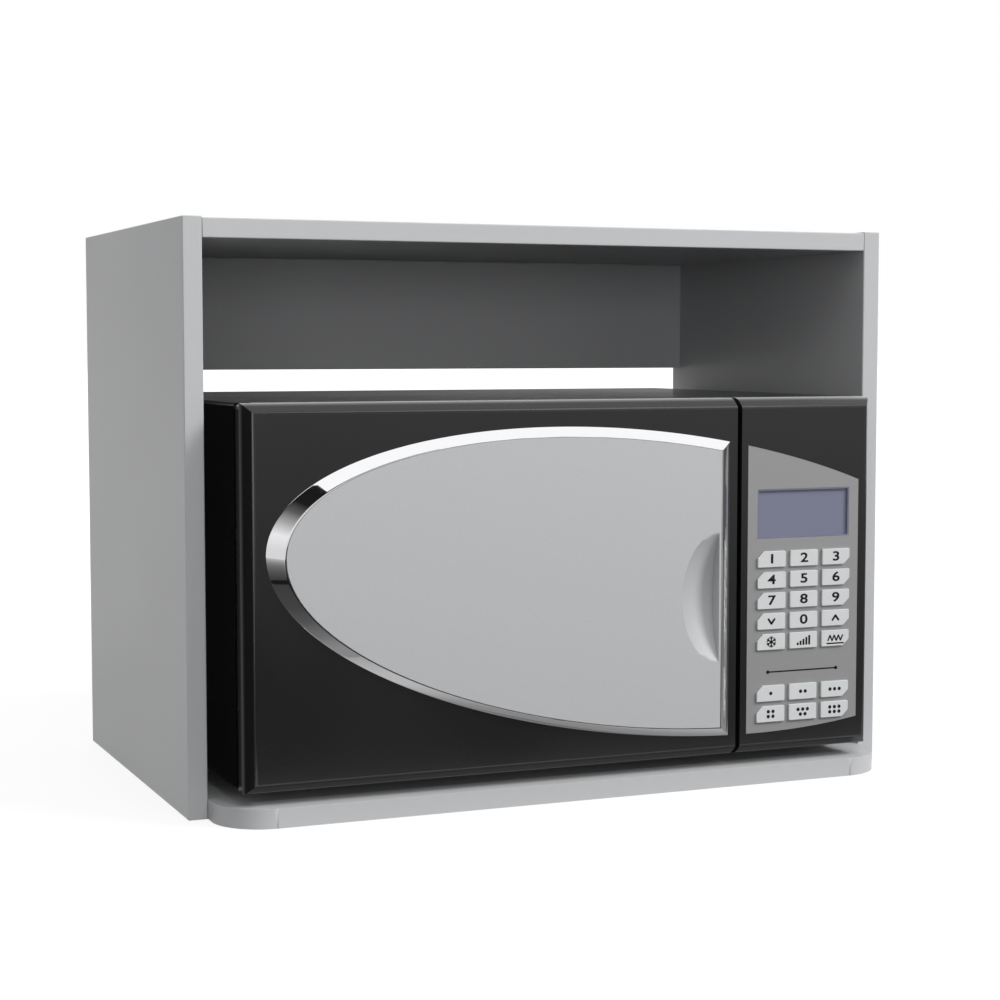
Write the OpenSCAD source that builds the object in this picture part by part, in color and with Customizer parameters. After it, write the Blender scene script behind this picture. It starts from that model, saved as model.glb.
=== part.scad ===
// Microwave cabinet: an open wall unit of coated board with a microwave oven on its shelf.
// X runs to the right, Y to the wall and Z up. The origin is the middle of the
// bottom board's underside. All sizes are in millimetres.

/* [Cabinet] */
// Overall width of the cabinet
cab_w = 600; // [580:2:680]
// Height of the side panels
cab_h = 450; // [440:2:560]
// Depth of the side panels
cab_d = 345; // [345:1:400]
// Thickness of the boards
board_t = 15; // [15:1:18]
// How far the top board lies below the top of the sides
top_drop = 1; // [0:0.5:6]
// How far the bottom board stands out in front of the sides
shelf_out = 50; // [46:1:80]
// Radius of the bottom board's front corners
shelf_r = 40; // [10:1:44]
// Space between the oven and the back rail
rail_gap = 20; // [12:1:40]

/* [Board joints] */
// Diameter of the wooden dowels
dowel_dia = 8; // [6:1:8]
// Length of the wooden dowels
dowel_len = 30; // [25:1:35]
// How deep a dowel enters a side panel
dowel_in_side = 10; // [8:1:11]
// Diameter of the cam discs
cam_dia = 15; // [12:1:16]
// Thickness of the cam discs
cam_t = 11.5; // [11:0.5:12.5]
// Distance from a board's end to the centre of its cam
cam_back = 24; // [24:1:34]
// Diameter of the cam bolt's shank
bolt_dia = 5; // [4:0.5:6]
// Diameter of the cam bolt's head
bolt_head = 7; // [6.5:0.5:7.5]
// How deep the cam bolt is screwed into a side panel
bolt_in_side = 11; // [9:0.5:12]
// Distance of the front joint from the front of the sides
joint_front = 56; // [45:1:90]
// Distance of the rear joint from the wall
joint_rear = 70; // [60:1:90]
// Distance between a cam bolt and its dowel
joint_pitch = 32; // [24:1:40]

/* [Wall hangers] */
// Distance of the keyholes from the side panels
hanger_in = 85; // [64:1:140]
// Width of a hanger plate
hanger_w = 60; // [50:1:80]
// Height of a hanger plate
hanger_h = 28; // [26:1:40]
// Thickness of a hanger plate
hanger_t = 2; // [1.5:0.5:3]
// Diameter of the keyhole's round mouth
keyhole_dia = 10; // [8:0.5:12]
// Width of the keyhole's slot
keyhole_slot = 5.2; // [4:0.2:6]
// Height of the keyhole's slot above its mouth
keyhole_rise = 9; // [8:0.5:11]
// Depth of the pocket behind the plate, for the screw's head
head_pocket = 8; // [6:0.5:9]

/* [Oven body] */
// Height of the oven above its feet
oven_h = 288; // [270:1:300]
// Space between the left side panel and the oven
gap_left = 15.9; // [8:0.1:24]
// Space between the oven and the right side panel
gap_right = 20.7; // [8:0.1:24]
// Space between the oven's back and the wall
gap_back = 5; // [3:0.5:20]
// Thickness of the sheet steel
sheet_t = 1; // [0.8:0.1:1.2]
// Outer radius of the wrap's two long bends
wrap_r = 3; // [2:0.5:6]
// Width of the wrap's turned-in edge at the back
wrap_lip = 12; // [10:1:16]
// Height of the base's turned-up edges
base_rim = 12; // [8:1:20]
// Diameter of a foot
foot_dia = 26; // [20:1:34]
// Height of a foot
foot_h = 10; // [6:1:16]
// Diameter of the peg that holds a foot
foot_peg = 6; // [5:0.5:8]
// Distance of the feet from the oven's edges
foot_inset = 40; // [30:1:60]

/* [Oven front] */
// Depth of the door
front_d = 24; // [23:0.5:27]
// Wall of the moulded front parts
skin = 3; // [2.5:0.5:3.5]
// Width of the bevel round the front face
bevel_w = 7; // [4:0.5:9]
// Depth of the bevel on the sides
bevel_d = 8.5; // [5:0.5:9]
// Radius between the bevel and the sides
bevel_outer_r = 12; // [4:0.5:13]
// Radius between the bevel and the face
bevel_inner_r = 4; // [1:0.5:5]
// Radius of the door's rear edge beside the hinge
rear_r = 2; // [1.5:0.5:3]
// Width of the control panel
panel_w = 122.9; // [116:0.1:132]
// Gap between the door and the control panel
door_gap = 4; // [3:0.5:6]
// Gap between the door and the oven body
seam = 2; // [1.5:0.1:3]

/* [Sweep of the front] */
// Half length of the leaning ellipse that runs across the front, as a share of the oven's width
sweep_long = 0.6; // [0.595:0.005:0.62]
// Half height of the ellipse, as a share of the oven's height
sweep_tall = 0.4167; // [0.39:0.0001:0.43]
// How far the ellipse leans, in degrees
sweep_lean = -7; // [-10:0.5:0]
// Centre of the ellipse from the oven's left side, as a share of its width
sweep_right = 0.626; // [0.62:0.001:0.65]
// Centre of the ellipse above the oven's underside, as a share of its height
sweep_up = 0.494; // [0.48:0.001:0.505]
// Distance of the door panel's straight edge from the door's right edge
rim_edge = 7; // [5:0.5:12]
// How far the door panel stands out
rim_h = 6; // [4:0.5:8]
// Width of the bright bevel at the straight edge
rim_in = 9.5; // [7:0.5:12]
// Width of the bright land on top of the bevel
rim_land = 0.8; // [0.5:0.1:2]
// Point that the bevel slopes to, left of the ellipse's centre, as a share of the oven's width
rim_aim_left = 0.184; // [0.15:0.001:0.2]
// Point that the bevel slopes to, above the ellipse's centre
rim_aim_up = 1.5; // [-5:0.5:5]
// Thickness of the door panel's face
panel_t = 2.4; // [2:0.2:3]

/* [Finger pull] */
// How far the pull reaches in from its straight wall
pull_w = 33; // [26:1:38]
// Height of the pull
pull_h = 104; // [80:1:120]
// Depth of the pull
pull_d = 12; // [8:0.5:12.5]
// Height of the pull's middle above the oven's underside, as a share of its height
pull_up = 0.451; // [0.4:0.001:0.5]
// Wall of the pull
pull_t = 1.6; // [1.2:0.1:2]

/* [Control panel] */
// Distance of the fascia from the panel's left edge
fascia_left = 5.8; // [4:0.2:8]
// Distance of the fascia from the panel's right edge
fascia_right = 14; // [11:0.5:17]
// Thickness of the fascia
fascia_t = 1.2; // [0.8:0.1:1.5]
// How far the fascia stands out of its recess
fascia_proud = 0.2; // [0:0.1:0.5]
// Distance of the display from the fascia's sides
display_side = 9; // [8:0.5:16]
// Height of the display, as a share of the oven's height
display_tall = 0.137; // [0.1:0.001:0.145]
// Height of the display's middle above the oven's underside, as a share of its height
display_up = 0.676; // [0.66:0.001:0.685]
// Thickness of the display's rim and window
display_t = 1; // [0.8:0.1:1.4]
// Depth of the display unit behind the panel's wall
display_d = 4; // [3:0.5:5]
// Depth of the window below the front
display_deep = 2; // [1:0.5:3]
// Thickness of the circuit board
pcb_t = 1.6; // [1.2:0.1:2]

/* [Keys] */
// Distance of the keys from the fascia's sides
key_side = 8.6; // [6:0.2:12]
// Space between the columns of keys
key_gap_x = 4.2; // [3.5:0.1:6]
// Space between the rows of keys
key_gap_z = 3.7; // [3.2:0.1:5]
// Distance between the rows of keys, as a share of the oven's height
key_row = 0.0583; // [0.056:0.0001:0.06]
// Height of the first row's middle above the oven's underside, as a share of its height
key_up = 0.5486; // [0.54:0.0001:0.555]
// Space between the number keys and the programme keys, in rows
key_break = 1.5; // [1.3:0.1:1.6]
// How far the keys stand out of the fascia
key_proud = 1.8; // [1.4:0.1:2.5]
// Cut corner of the outer keys
key_cut = 5.5; // [3:0.5:6]
// Radius of a key's corners
key_r = 0.8; // [0.4:0.1:1.2]
// Travel of a key
key_travel = 1.2; // [0.8:0.1:1.3]
// How far a key's shoulder reaches past its opening
key_flange = 0.8; // [0.5:0.1:1]

/* [Hinge and latch] */
// Distance of the hinge axis from the door's left side
hinge_in = 5.2; // [5:0.1:6]
// Distance of the hinge axis from the door's back
hinge_back = 5; // [4.6:0.1:5.4]
// Diameter of the hinge pins
pin_dia = 5; // [4:0.5:5]
// Length of a hinge pin below its plate
pin_len = 7; // [5:0.5:9]
// Thickness of a hinge plate
hinge_t = 2; // [1.5:0.5:2.5]
// Height of the notch for a hinge plate
hinge_notch = 5; // [4:0.5:6]
// Distance of the latch hooks from the door's right edge
latch_in = 24; // [20:1:26]
// Thickness of a latch hook
hook_t = 4; // [3:0.5:5]
// Height of a hook's arm
hook_h = 9; // [7:0.5:11]
// Depth of a hook's barb
hook_barb = 3.5; // [2:0.5:5]
// Lift of the hooks
hook_lift = 4; // [3:0.5:5]
// Height of the lower hook above the oven's underside, as a share of its height
hook_low = 0.25; // [0.23:0.005:0.3]
// Height of the upper hook above the oven's underside, as a share of its height
hook_high = 0.735; // [0.7:0.005:0.77]
// How far the door opens, in degrees
door_open = 105; // [90:1:105]

/* [Cooking space] */
// Distance of the cooking space from the oven's left side
space_left = 41; // [38:1:60]
// Distance of the cooking space from the door's right edge
space_right = 45.5; // [43:0.5:60]
// Distance of the cooking space from the oven's back
space_back = 44; // [42:1:80]
// Height of the floor above the oven's underside
space_up = 37; // [34:1:42]
// Distance of the cooking space's roof from the oven's top
space_over = 51; // [44:1:60]
// How far the cover plate reaches past the wave guide
mica_over = 2; // [1:0.5:6]

/* [Turntable] */
// Space between the glass tray and the walls of the cooking space
tray_gap = 33; // [24:1:40]
// Thickness of the glass
glass_t = 4.5; // [3.5:0.5:6]
// Height of the tray's raised edge
tray_rim = 9; // [6:0.5:12]
// Diameter of a roller
roller_dia = 16; // [14:1:18]
// Width of a roller
roller_w = 8; // [6:0.5:10]
// Distance of the rollers' middle from the tray's edge
roller_in = 37; // [32:1:50]
// Diameter of the roller pegs
peg_dia = 5; // [4:0.5:6]
// Outer diameter of the coupler's arms
coupler_dia = 40; // [36:1:50]
// Diameter of the coupler's stem
stem_dia = 7; // [6:0.5:8]

/* [Works] */
// Width of the wave guide
guide_w = 36; // [32:1:40]
// Side length of the magnetron's yoke
magnetron_w = 76; // [70:1:86]
// Width of the high-voltage transformer
transformer_w = 90; // [80:1:96]
// Diameter of the fan
fan_dia = 100; // [90:1:104]
// Number of fan blades
fan_blades = 5; // [4:1:7]
// Diameter of the fan's shaft
shaft_dia = 4; // [3:0.5:5]
// Bore of the cord gland
gland_bore = 7; // [6:0.5:9]
// Length of the cord gland
gland_len = 12; // [10:0.5:14]
// Diameter of the sheet-metal screws
screw_dia = 3.2; // [2.8:0.1:3.5]
// Width of a vent slot
vent_w = 3; // [2.5:0.5:4]
// Distance between vent slots
vent_pitch = 7; // [6:0.5:10]

/* [Fits] */
// Gap between pieces that are laid against each other
seat = 0.3; // [0.2:0.05:0.4]
// Radial clearance of shafts, pins and pegs
run = 0.05; // [0.02:0.01:0.09]
// Gap round moulded pieces that drop into an opening
slip = 0.15; // [0.1:0.05:0.3]
// Gap round pieces that move past each other
clear = 0.5; // [0.4:0.1:0.8]

/* [Hidden] */
$fn = 64;

KEYS = [
    ["key_1", 0, 0], ["key_2", 1, 0], ["key_3", 2, 0],
    ["key_4", 0, 1], ["key_5", 1, 1], ["key_6", 2, 1],
    ["key_7", 0, 2], ["key_8", 1, 2], ["key_9", 2, 2],
    ["key_down", 0, 3], ["key_0", 1, 3], ["key_up", 2, 3],
    ["key_thaw", 0, 4], ["key_power", 1, 4], ["key_grill", 2, 4],
    ["key_program_1", 0, 5], ["key_program_2", 1, 5], ["key_program_3", 2, 5],
    ["key_program_4", 0, 6], ["key_program_5", 1, 6], ["key_program_6", 2, 6]
];

// Colours
board_grey = [0.72, 0.73, 0.74];
enamel_black = [0.13, 0.13, 0.13];
plastic_black = [0.08, 0.08, 0.085];
silver_grey = [0.68, 0.69, 0.70];
steel = [0.70, 0.71, 0.72];
dark_steel = [0.42, 0.43, 0.45];
key_white = [0.86, 0.87, 0.87];
nylon = [0.88, 0.87, 0.84];

// Cabinet planes
x_in = cab_w / 2 - board_t;
y_wall = (cab_d + shelf_out) / 2;
y_shelf = -y_wall;
y_side = y_wall - cab_d;
top_z1 = cab_h - top_drop;
top_z0 = top_z1 - board_t;
joint_ys = [y_side + joint_front, y_wall - joint_rear];

// Oven planes
ox0 = -x_in + gap_left;
ox1 = x_in - gap_right;
oven_w = ox1 - ox0;
oy0 = y_shelf;
oy1 = y_wall - gap_back;
oz0 = board_t + foot_h;
oz1 = oz0 + oven_h;
y_back = oy0 + front_d;
y_plate = y_back + seam;
bezel_x0 = ox1 - panel_w;
door_x1 = bezel_x0 - door_gap;
rail_z0 = oz1 + rail_gap;
rail_h = top_z0 - rail_z0;
// Inner faces of the wrap, and the sheets that stand inside it
body_x0 = ox0 + sheet_t + seat;
body_x1 = ox1 - sheet_t - seat;
body_z0 = oz0 + sheet_t + seat;
body_z1 = oz1 - sheet_t - seat;
rear_y1 = oy1 - sheet_t - seat;
rear_y0 = rear_y1 - sheet_t;

// Cooking space
sx0 = ox0 + space_left;
sx1 = door_x1 - space_right;
sy1 = oy1 - space_back;
sz0 = oz0 + space_up;
sz1 = oz1 - space_over;
turn_x = (sx0 + sx1) / 2;
turn_y = (y_plate + sy1) / 2;
roller_z = sz0 + seat + roller_dia / 2;
tray_z = sz0 + roller_dia + 2 * seat;
tray_dia = min(sx1 - sx0, sy1 - y_plate) - 2 * tray_gap;
roller_out = tray_dia / 2 - roller_in;

// Sweep of the front
sweep_a = oven_w * sweep_long;
sweep_b = oven_h * sweep_tall;
sweep_x = ox0 + oven_w * sweep_right;
sweep_z = oz0 + oven_h * sweep_up;
sweep_reach = norm([sweep_a * cos(sweep_lean), sweep_b * sin(sweep_lean)]);
rim_x1 = door_x1 - rim_edge;
aim_x = sweep_x - oven_w * rim_aim_left;
aim_z = sweep_z + rim_aim_up;
panel_in = rim_in + rim_land + slip;
y_face = oy0 - rim_h;

// Finger pull: a cap of a ball that is drawn out in height
pull_x = rim_x1 - panel_in - pull_t;
pull_z = oz0 + oven_h * pull_up;
pull_r = (pull_w * pull_w + pull_d * pull_d) / (2 * pull_d);
pull_tall = pull_h / 2 / pull_w;

// Control panel
fascia_x0 = bezel_x0 + fascia_left;
fascia_x1 = ox1 - fascia_right;
y_fascia = oy0 - fascia_proud;
y_recess = y_fascia + fascia_t;
y_skin = oy0 + skin;
panel_mid = (fascia_x0 + fascia_x1) / 2;
display_z = oz0 + oven_h * display_up;
display_w = fascia_x1 - fascia_x0 - 2 * display_side;
display_h = oven_h * display_tall;
key_w = (fascia_x1 - fascia_x0 - 2 * key_side - 2 * key_gap_x) / 3;
key_pitch_x = key_w + key_gap_x;
key_pitch_z = oven_h * key_row;
key_h = key_pitch_z - key_gap_z;
key_z = oz0 + oven_h * key_up;
y_key = y_fascia - key_proud;
// Shoulder and stem of a key, and the switch under it
shoulder_t = 1;
y_shoulder = y_skin + seat;
switch_h = 3;
button_h = 0.6;
button_r = 1.7;
stem_h = 0.8;
y_pcb = y_shoulder + shoulder_t + stem_h + key_travel + seat + button_h + switch_h;

// Hinge and latch
hinge_x = ox0 + hinge_in;
hinge_y = y_back - hinge_back;
hinge_arm = hinge_x - body_x0;
// How far the hinge plate's neck reaches into the open door, at the door's side
neck_y = (hinge_in - hinge_arm * cos(door_open)) / sin(door_open);
notch_y = hinge_y - max(hinge_arm, hinge_arm * sin(door_open) - neck_y * cos(door_open)) - 2 * clear;
choke_d = 7.5;
y_choke = y_back - choke_d;
latch_x = door_x1 - latch_in;
y_bar = y_choke - seat;
bar_t = hook_t + clear;
bar_w = hook_t * 2.5;
hook_y = y_plate + sheet_t + hook_t * 2;
hook_zs = [oz0 + oven_h * hook_low, oz0 + oven_h * hook_high];
block_w = bar_w * 2;
block_y0 = y_plate + sheet_t + seat;
block_y1 = hook_y + block_w / 4;
switch_w = bar_w;

// Fan: air round its blades, and the wall, depth and arms of its shroud
fan_air = 5;
ring_t = 2;
fan_x = (sx1 + sheet_t + ox1) / 2;
fan_z = oz0 + oven_h * 0.62;
fan_ring = fan_dia / 2 + fan_air;
shroud_d = fan_dia * 0.2;
fan_back = fan_dia * 0.36;

// ---------------------------------------------------------------- helpers

module box(a, b) translate(a) cube(b - a);

function unit(v) = v / norm(v);

// Arc of radius r that rounds the corner b between a and c
function round_corner(a, b, c, r, n) =
    let (u = unit(a - b), v = unit(c - b), half = acos(u * v) / 2,
         o = b + unit(u + v) * r / sin(half),
         p = b + u * r / tan(half), q = b + v * r / tan(half),
         s = atan2(p.y - o.y, p.x - o.x), e = atan2(q.y - o.y, q.x - o.x),
         turn = (e - s + 540) % 360 - 180)
    [for (i = [0 : n]) o + r * [cos(s + turn * i / n), sin(s + turn * i / n)]];

// Outline p with its corners rounded to the radii in r
function rounded(p, r, n = 6) = let (m = len(p)) [
    for (i = [0 : m - 1])
        each (r[i] == 0 ? [p[i]] : round_corner(p[(i + m - 1) % m], p[i], p[(i + 1) % m], r[i], n))
];

// Extrudes an outline drawn in X and Z towards the front, from y back
module forward(y, t) translate([0, y, 0]) rotate([90, 0, 0]) linear_extrude(t) children();

// Cylinder along Y from y0 to y1
module rod_y(x, z, r, y0, y1) translate([x, y1, z]) rotate([90, 0, 0]) cylinder(r = r, h = y1 - y0);

// Cylinder along X from x0 to x1
module rod_x(y, z, r, x0, x1) translate([x0, y, z]) rotate([0, 90, 0]) cylinder(r = r, h = x1 - x0);

// Copies its children to the right-hand side
module both_sides() {
    children();
    mirror([1, 0, 0]) children();
}

// ---------------------------------------------------------------- cabinet

// Sections of the board joints: a dowel and a cam bolt at each place [y, z]
function shelf_joints(z) = [for (y = joint_ys) [[y, z], [y + joint_pitch, z]]];
rail_mid_z = rail_z0 + rail_h / 2;
rail_mid_y = y_wall - board_t / 2;
rail_pitch = min(joint_pitch, rail_h / 3);
rail_joint = [[rail_mid_y, rail_mid_z], [rail_mid_y, rail_mid_z + rail_pitch]];
top_mid = top_z0 + board_t / 2;

// Holes in the left side panel for one joint
module side_holes(joint) {
    rod_x(joint[0].x, joint[0].y, bolt_dia / 2 + run, -x_in - bolt_in_side - seat, -x_in + 1);
    rod_x(joint[1].x, joint[1].y, dowel_dia / 2 + run, -x_in - dowel_in_side - seat, -x_in + 1);
}

// Holes in the left end of a board for one joint
module end_holes(joint) {
    rod_x(joint[0].x, joint[0].y, bolt_head / 2 + seat, -x_in - 1, -x_in + cam_back);
    rod_x(joint[1].x, joint[1].y, dowel_dia / 2 + run, -x_in - 1, -x_in + dowel_len - dowel_in_side + seat);
}

// Moves a cam, drawn with its mouth upwards, to a board's hidden face
module at_top_cam(y) translate([-x_in + cam_back, y, top_z1]) children();
module at_bottom_cam(y) translate([-x_in + cam_back, y, 0]) mirror([0, 0, 1]) children();
module at_rail_cam() translate([-x_in + cam_back, y_wall, rail_mid_z]) rotate([-90, 0, 0]) children();

// Cross in a cam's face
cross_l = 8;
cross_t = 1.6;
cross_d = 2;

module cam_bore() translate([0, 0, -cam_t - seat]) cylinder(d = cam_dia + 2 * run, h = cam_t + seat + 1);

// Cam disc: a slot for the bolt's head on the side of the board's end, a cross in its face
module cam_disc() difference() {
    translate([0, 0, -cam_t]) cylinder(d = cam_dia, h = cam_t - seat);
    translate([-cam_dia, -bolt_head / 2 - seat, -board_t / 2 - bolt_head / 2 - seat])
        cube([cam_dia + 4, bolt_head + 2 * seat, bolt_head + 2 * seat]);
    for (a = [0, 90]) rotate([0, 0, a])
        translate([-cross_l / 2, -cross_t / 2, -cross_d - seat]) cube([cross_l, cross_t, cross_d + 1]);
}

module cam_bolt(joint) {
    rod_x(joint[0].x, joint[0].y, bolt_dia / 2, -x_in - bolt_in_side, -x_in + cam_back);
    rod_x(joint[0].x, joint[0].y, bolt_head / 2, -x_in + cam_back, -x_in + cam_back + 3);
}

module side_panel() difference() {
    box([-x_in - board_t, y_side, 0], [-x_in, y_wall, cab_h]);
    for (j = shelf_joints(top_mid)) side_holes(j);
    for (j = shelf_joints(board_t / 2)) side_holes(j);
    side_holes(rail_joint);
}

module left_side() color(board_grey) side_panel();

module right_side() color(board_grey) mirror([1, 0, 0]) side_panel();

module top_board() color(board_grey) difference() {
    box([-x_in, y_side, top_z0], [x_in, y_wall, top_z1]);
    both_sides() {
        for (j = shelf_joints(top_mid)) end_holes(j);
        for (y = joint_ys) at_top_cam(y) cam_bore();
    }
}

shelf_steps = 24;
module bottom_board() color(board_grey) difference() {
    linear_extrude(board_t) polygon(rounded(
        [[-x_in, y_wall], [-x_in, y_shelf], [x_in, y_shelf], [x_in, y_wall]],
        [0, shelf_r, shelf_r, 0], shelf_steps));
    both_sides() {
        for (j = shelf_joints(board_t / 2)) end_holes(j);
        for (y = joint_ys) at_bottom_cam(y) cam_bore();
    }
}

// Places its children at the centre of each keyhole's mouth, on the wall plane
keyhole_z = rail_mid_z - keyhole_rise / 2;
module at_hangers() for (s = [-1, 1]) translate([s * (x_in - hanger_in), y_wall, keyhole_z]) children();
hanger_z = keyhole_rise / 2;
hanger_screw = hanger_w * 0.35;
hanger_grip = screw_dia * 3;

module back_rail() color(board_grey) difference() {
    box([-x_in, y_wall - board_t, rail_z0], [x_in, y_wall, top_z0]);
    both_sides() {
        end_holes(rail_joint);
        at_rail_cam() cam_bore();
    }
    at_hangers() {
        translate([-hanger_w / 2 - slip, -hanger_t - slip, hanger_z - hanger_h / 2 - slip])
            cube([hanger_w + 2 * slip, hanger_t + 1, hanger_h + 2 * slip]);
        translate([-keyhole_dia / 2 - 2, -hanger_t - head_pocket, -keyhole_dia / 2 - 1])
            cube([keyhole_dia + 4, head_pocket + 1, keyhole_dia + keyhole_rise + 2]);
        for (s = [-1, 1])
            rod_y(s * hanger_screw, hanger_z, screw_r + run, -hanger_t - hanger_grip - 2 * clear, 0);
    }
}

module dowels() color([0.80, 0.66, 0.46]) both_sides() {
    for (j = concat(shelf_joints(top_mid), shelf_joints(board_t / 2), [rail_joint]))
        rod_x(j[1].x, j[1].y, dowel_dia / 2, -x_in - dowel_in_side, -x_in - dowel_in_side + dowel_len);
}

module cam_fittings() color(steel) both_sides() {
    for (y = joint_ys) {
        at_top_cam(y) cam_disc();
        at_bottom_cam(y) cam_disc();
    }
    at_rail_cam() cam_disc();
    for (j = concat(shelf_joints(top_mid), shelf_joints(board_t / 2), [rail_joint])) cam_bolt(j);
}

module keyhole() {
    circle(d = keyhole_dia);
    translate([-keyhole_slot / 2, 0]) square([keyhole_slot, keyhole_rise]);
    translate([0, keyhole_rise]) circle(d = keyhole_slot);
}

screw_r = screw_dia / 2;
head_r = screw_dia * 1.06;
head_t = screw_dia * 0.62;

// Two plates, each with its two screws
module hanger_plates() color(steel) at_hangers() {
    forward(0, hanger_t) difference() {
        translate([-hanger_w / 2, hanger_z - hanger_h / 2]) square([hanger_w, hanger_h]);
        keyhole();
        for (s = [-1, 1]) translate([s * hanger_screw, hanger_z]) circle(r = screw_r + run);
    }
    for (s = [-1, 1]) rod_y(s * hanger_screw, hanger_z, screw_r, -hanger_t - hanger_grip, 0);
}

// ---------------------------------------------------------------- oven body

lip_mid = wrap_lip / 2;
wrap_screws = [
    for (x = [ox0 + lip_mid, ox1 - lip_mid], z = [0.16, 0.84]) [x, oz0 + oven_h * z],
    for (x = [0.28, 0.72]) [ox0 + oven_w * x, oz1 - lip_mid]
];

// Pan-head screws of the wrap, with a cross in each head
module screws() color(steel) for (p = wrap_screws) difference() {
    union() {
        rod_y(p.x, p.y, screw_r, oy1 - screw_dia * 2.5, oy1 + head_t / 2);
        rod_y(p.x, p.y, head_r, oy1, oy1 + head_t);
    }
    for (a = [0, 90]) translate([p.x, oy1 + head_t, p.y]) rotate([0, a, 0])
        cube([head_r * 1.2, head_t * 1.2, head_t * 0.4], center = true);
}

// Section of the wrap: straight sides, two bends and the flat top
function wrap_outline(inset) = rounded(
    [[ox0 + inset, oz0], [ox0 + inset, oz1 - inset], [ox1 - inset, oz1 - inset], [ox1 - inset, oz0]],
    [0, wrap_r - inset, wrap_r - inset, 0]);

// Outline of a sheet that stands in the wrap
module in_wrap() polygon(rounded(
    [[body_x0, body_z0], [body_x0, body_z1], [body_x1, body_z1], [body_x1, body_z0]],
    [0, wrap_r, wrap_r, 0]));

// Vents in the wrap's right side: their number, distance from the front and height
side_vents = 12;
side_vent_y = y_plate + 70;
side_vent_z = oz0 + oven_h * 0.2;
side_vent_h = oven_h * 0.25;
screw_hole = screw_r + 0.1;
module oven_casing() color(enamel_black) difference() {
    forward(oy1, oy1 - y_plate) polygon(wrap_outline(0));
    forward(oy1 - sheet_t, oy1 - y_plate) polygon(wrap_outline(sheet_t));
    box([ox0 - 1, y_plate - 1, oz0 - 1], [ox1 + 1, oy1 + 1, body_z0]);
    box([ox0 + wrap_lip, oy1 - 2 * sheet_t, oz0 - 1], [ox1 - wrap_lip, oy1 + 1, oz1 - wrap_lip]);
    for (p = wrap_screws) rod_y(p.x, p.y, screw_hole, oy1 - 2 * sheet_t, oy1 + 1);
    for (i = [0 : side_vents - 1]) translate([0, side_vent_y + i * vent_pitch, side_vent_z])
        box([ox1 - 2 * sheet_t, 0, 0], [ox1 + 1, vent_w, side_vent_h]);
}

module at_feet()
    for (x = [ox0 + foot_inset, ox1 - foot_inset], y = [y_plate + foot_inset, oy1 - foot_inset])
        translate([x, y, board_t]) children();

// Air slots in the base, under the fan's side
base_vents = 16;
base_vent_x = sx1 + 20;
base_vent_y = turn_y + 30;
base_vent_l = 60;

module oven_base() color(dark_steel) difference() {
    union() {
        box([body_x0, y_plate, oz0], [body_x1, rear_y0 - seat, oz0 + sheet_t]);
        for (x = [body_x0, body_x1 - sheet_t])
            box([x, y_plate + base_rim, oz0], [x + sheet_t, rear_y0 - seat, oz0 + base_rim]);
        box([body_x0, rear_y0 - seat - sheet_t, oz0], [body_x1, rear_y0 - seat, oz0 + base_rim]);
    }
    at_feet() cylinder(d = foot_peg + 2 * run, h = 2 * foot_h);
    for (i = [0 : base_vents - 1]) translate([base_vent_x + i * vent_pitch, base_vent_y, oz0 - 1])
        cube([vent_w, base_vent_l, 3 * sheet_t]);
}

module oven_feet() color(plastic_black) at_feet() {
    rotate_extrude() polygon([[0, 0], [foot_dia / 2 - 3, 0], [foot_dia / 2 - 1.5, 1],
        [foot_dia / 2, foot_h], [foot_peg / 2, foot_h], [foot_peg / 2, foot_h + sheet_t + 3],
        [0, foot_h + sheet_t + 3]]);
}

// Slots for a latch hook, in the pieces that it passes through
module hook_slots(y0, y1) for (z = hook_zs)
    box([latch_x - hook_t / 2 - 2 * clear, y0, z - hook_barb - seat],
        [latch_x + hook_t / 2 + 2 * clear, y1, z + hook_h + hook_lift + clear]);

guide_x0 = sx1;
guide_x1 = sx1 + guide_w;
guide_l = 90;
guide_h = 60;
guide_y0 = turn_y - guide_l / 3;
guide_y1 = guide_y0 + guide_l;
guide_z1 = sz1 - 22;
guide_z0 = guide_z1 - guide_h;
// Mouth of the wave guide, and the magnetron's antenna that reaches into it
mouth_in = 8;
mouth_y1 = guide_y0 + guide_l * 0.58;
antenna_r = 9;
antenna_y = guide_y1 - antenna_r * 3.1;
antenna_z = (guide_z0 + guide_z1) / 2;
// Air slots in the right-hand wall, in front of and behind the wave guide
air_slots = 6;
air_ys = [guide_y0 - 70, guide_y1 + 15];
air_h = 30;

// Cooking space, front plate and wave guide, welded from sheet
module cavity() color(dark_steel) difference() {
    union() {
        forward(y_plate + sheet_t, sheet_t) in_wrap();
        box([sx0 - sheet_t, y_plate, sz0 - sheet_t], [sx1 + sheet_t, sy1 + sheet_t, sz1 + sheet_t]);
        box([guide_x0, guide_y0, guide_z0], [guide_x1, guide_y1, guide_z1]);
    }
    box([sx0, y_plate - 1, sz0], [sx1, sy1, sz1]);
    box([guide_x0 + sheet_t, guide_y0 + sheet_t, guide_z0 + sheet_t],
        [guide_x1 - sheet_t, guide_y1 - sheet_t, guide_z1 - sheet_t]);
    box([sx1 - 1, guide_y0 + mouth_in, guide_z0 + mouth_in],
        [sx1 + 2 * sheet_t, mouth_y1, guide_z1 - mouth_in]);
    rod_x(antenna_y, antenna_z, antenna_r + clear, guide_x1 - 2 * sheet_t, guide_x1 + 1);
    for (y = air_ys, i = [0 : air_slots - 1])
        translate([sx1 - 1, y + i * vent_pitch, antenna_z - 2 * air_h / 3])
            cube([3 * sheet_t, vent_w, air_h]);
    translate([turn_x, turn_y, sz0 - 2 * sheet_t]) cylinder(d = stem_dia + 4 * clear, h = 3 * sheet_t);
    hook_slots(y_plate - 1, y_plate + 2 * sheet_t);
    hinge_slots();
}

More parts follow.
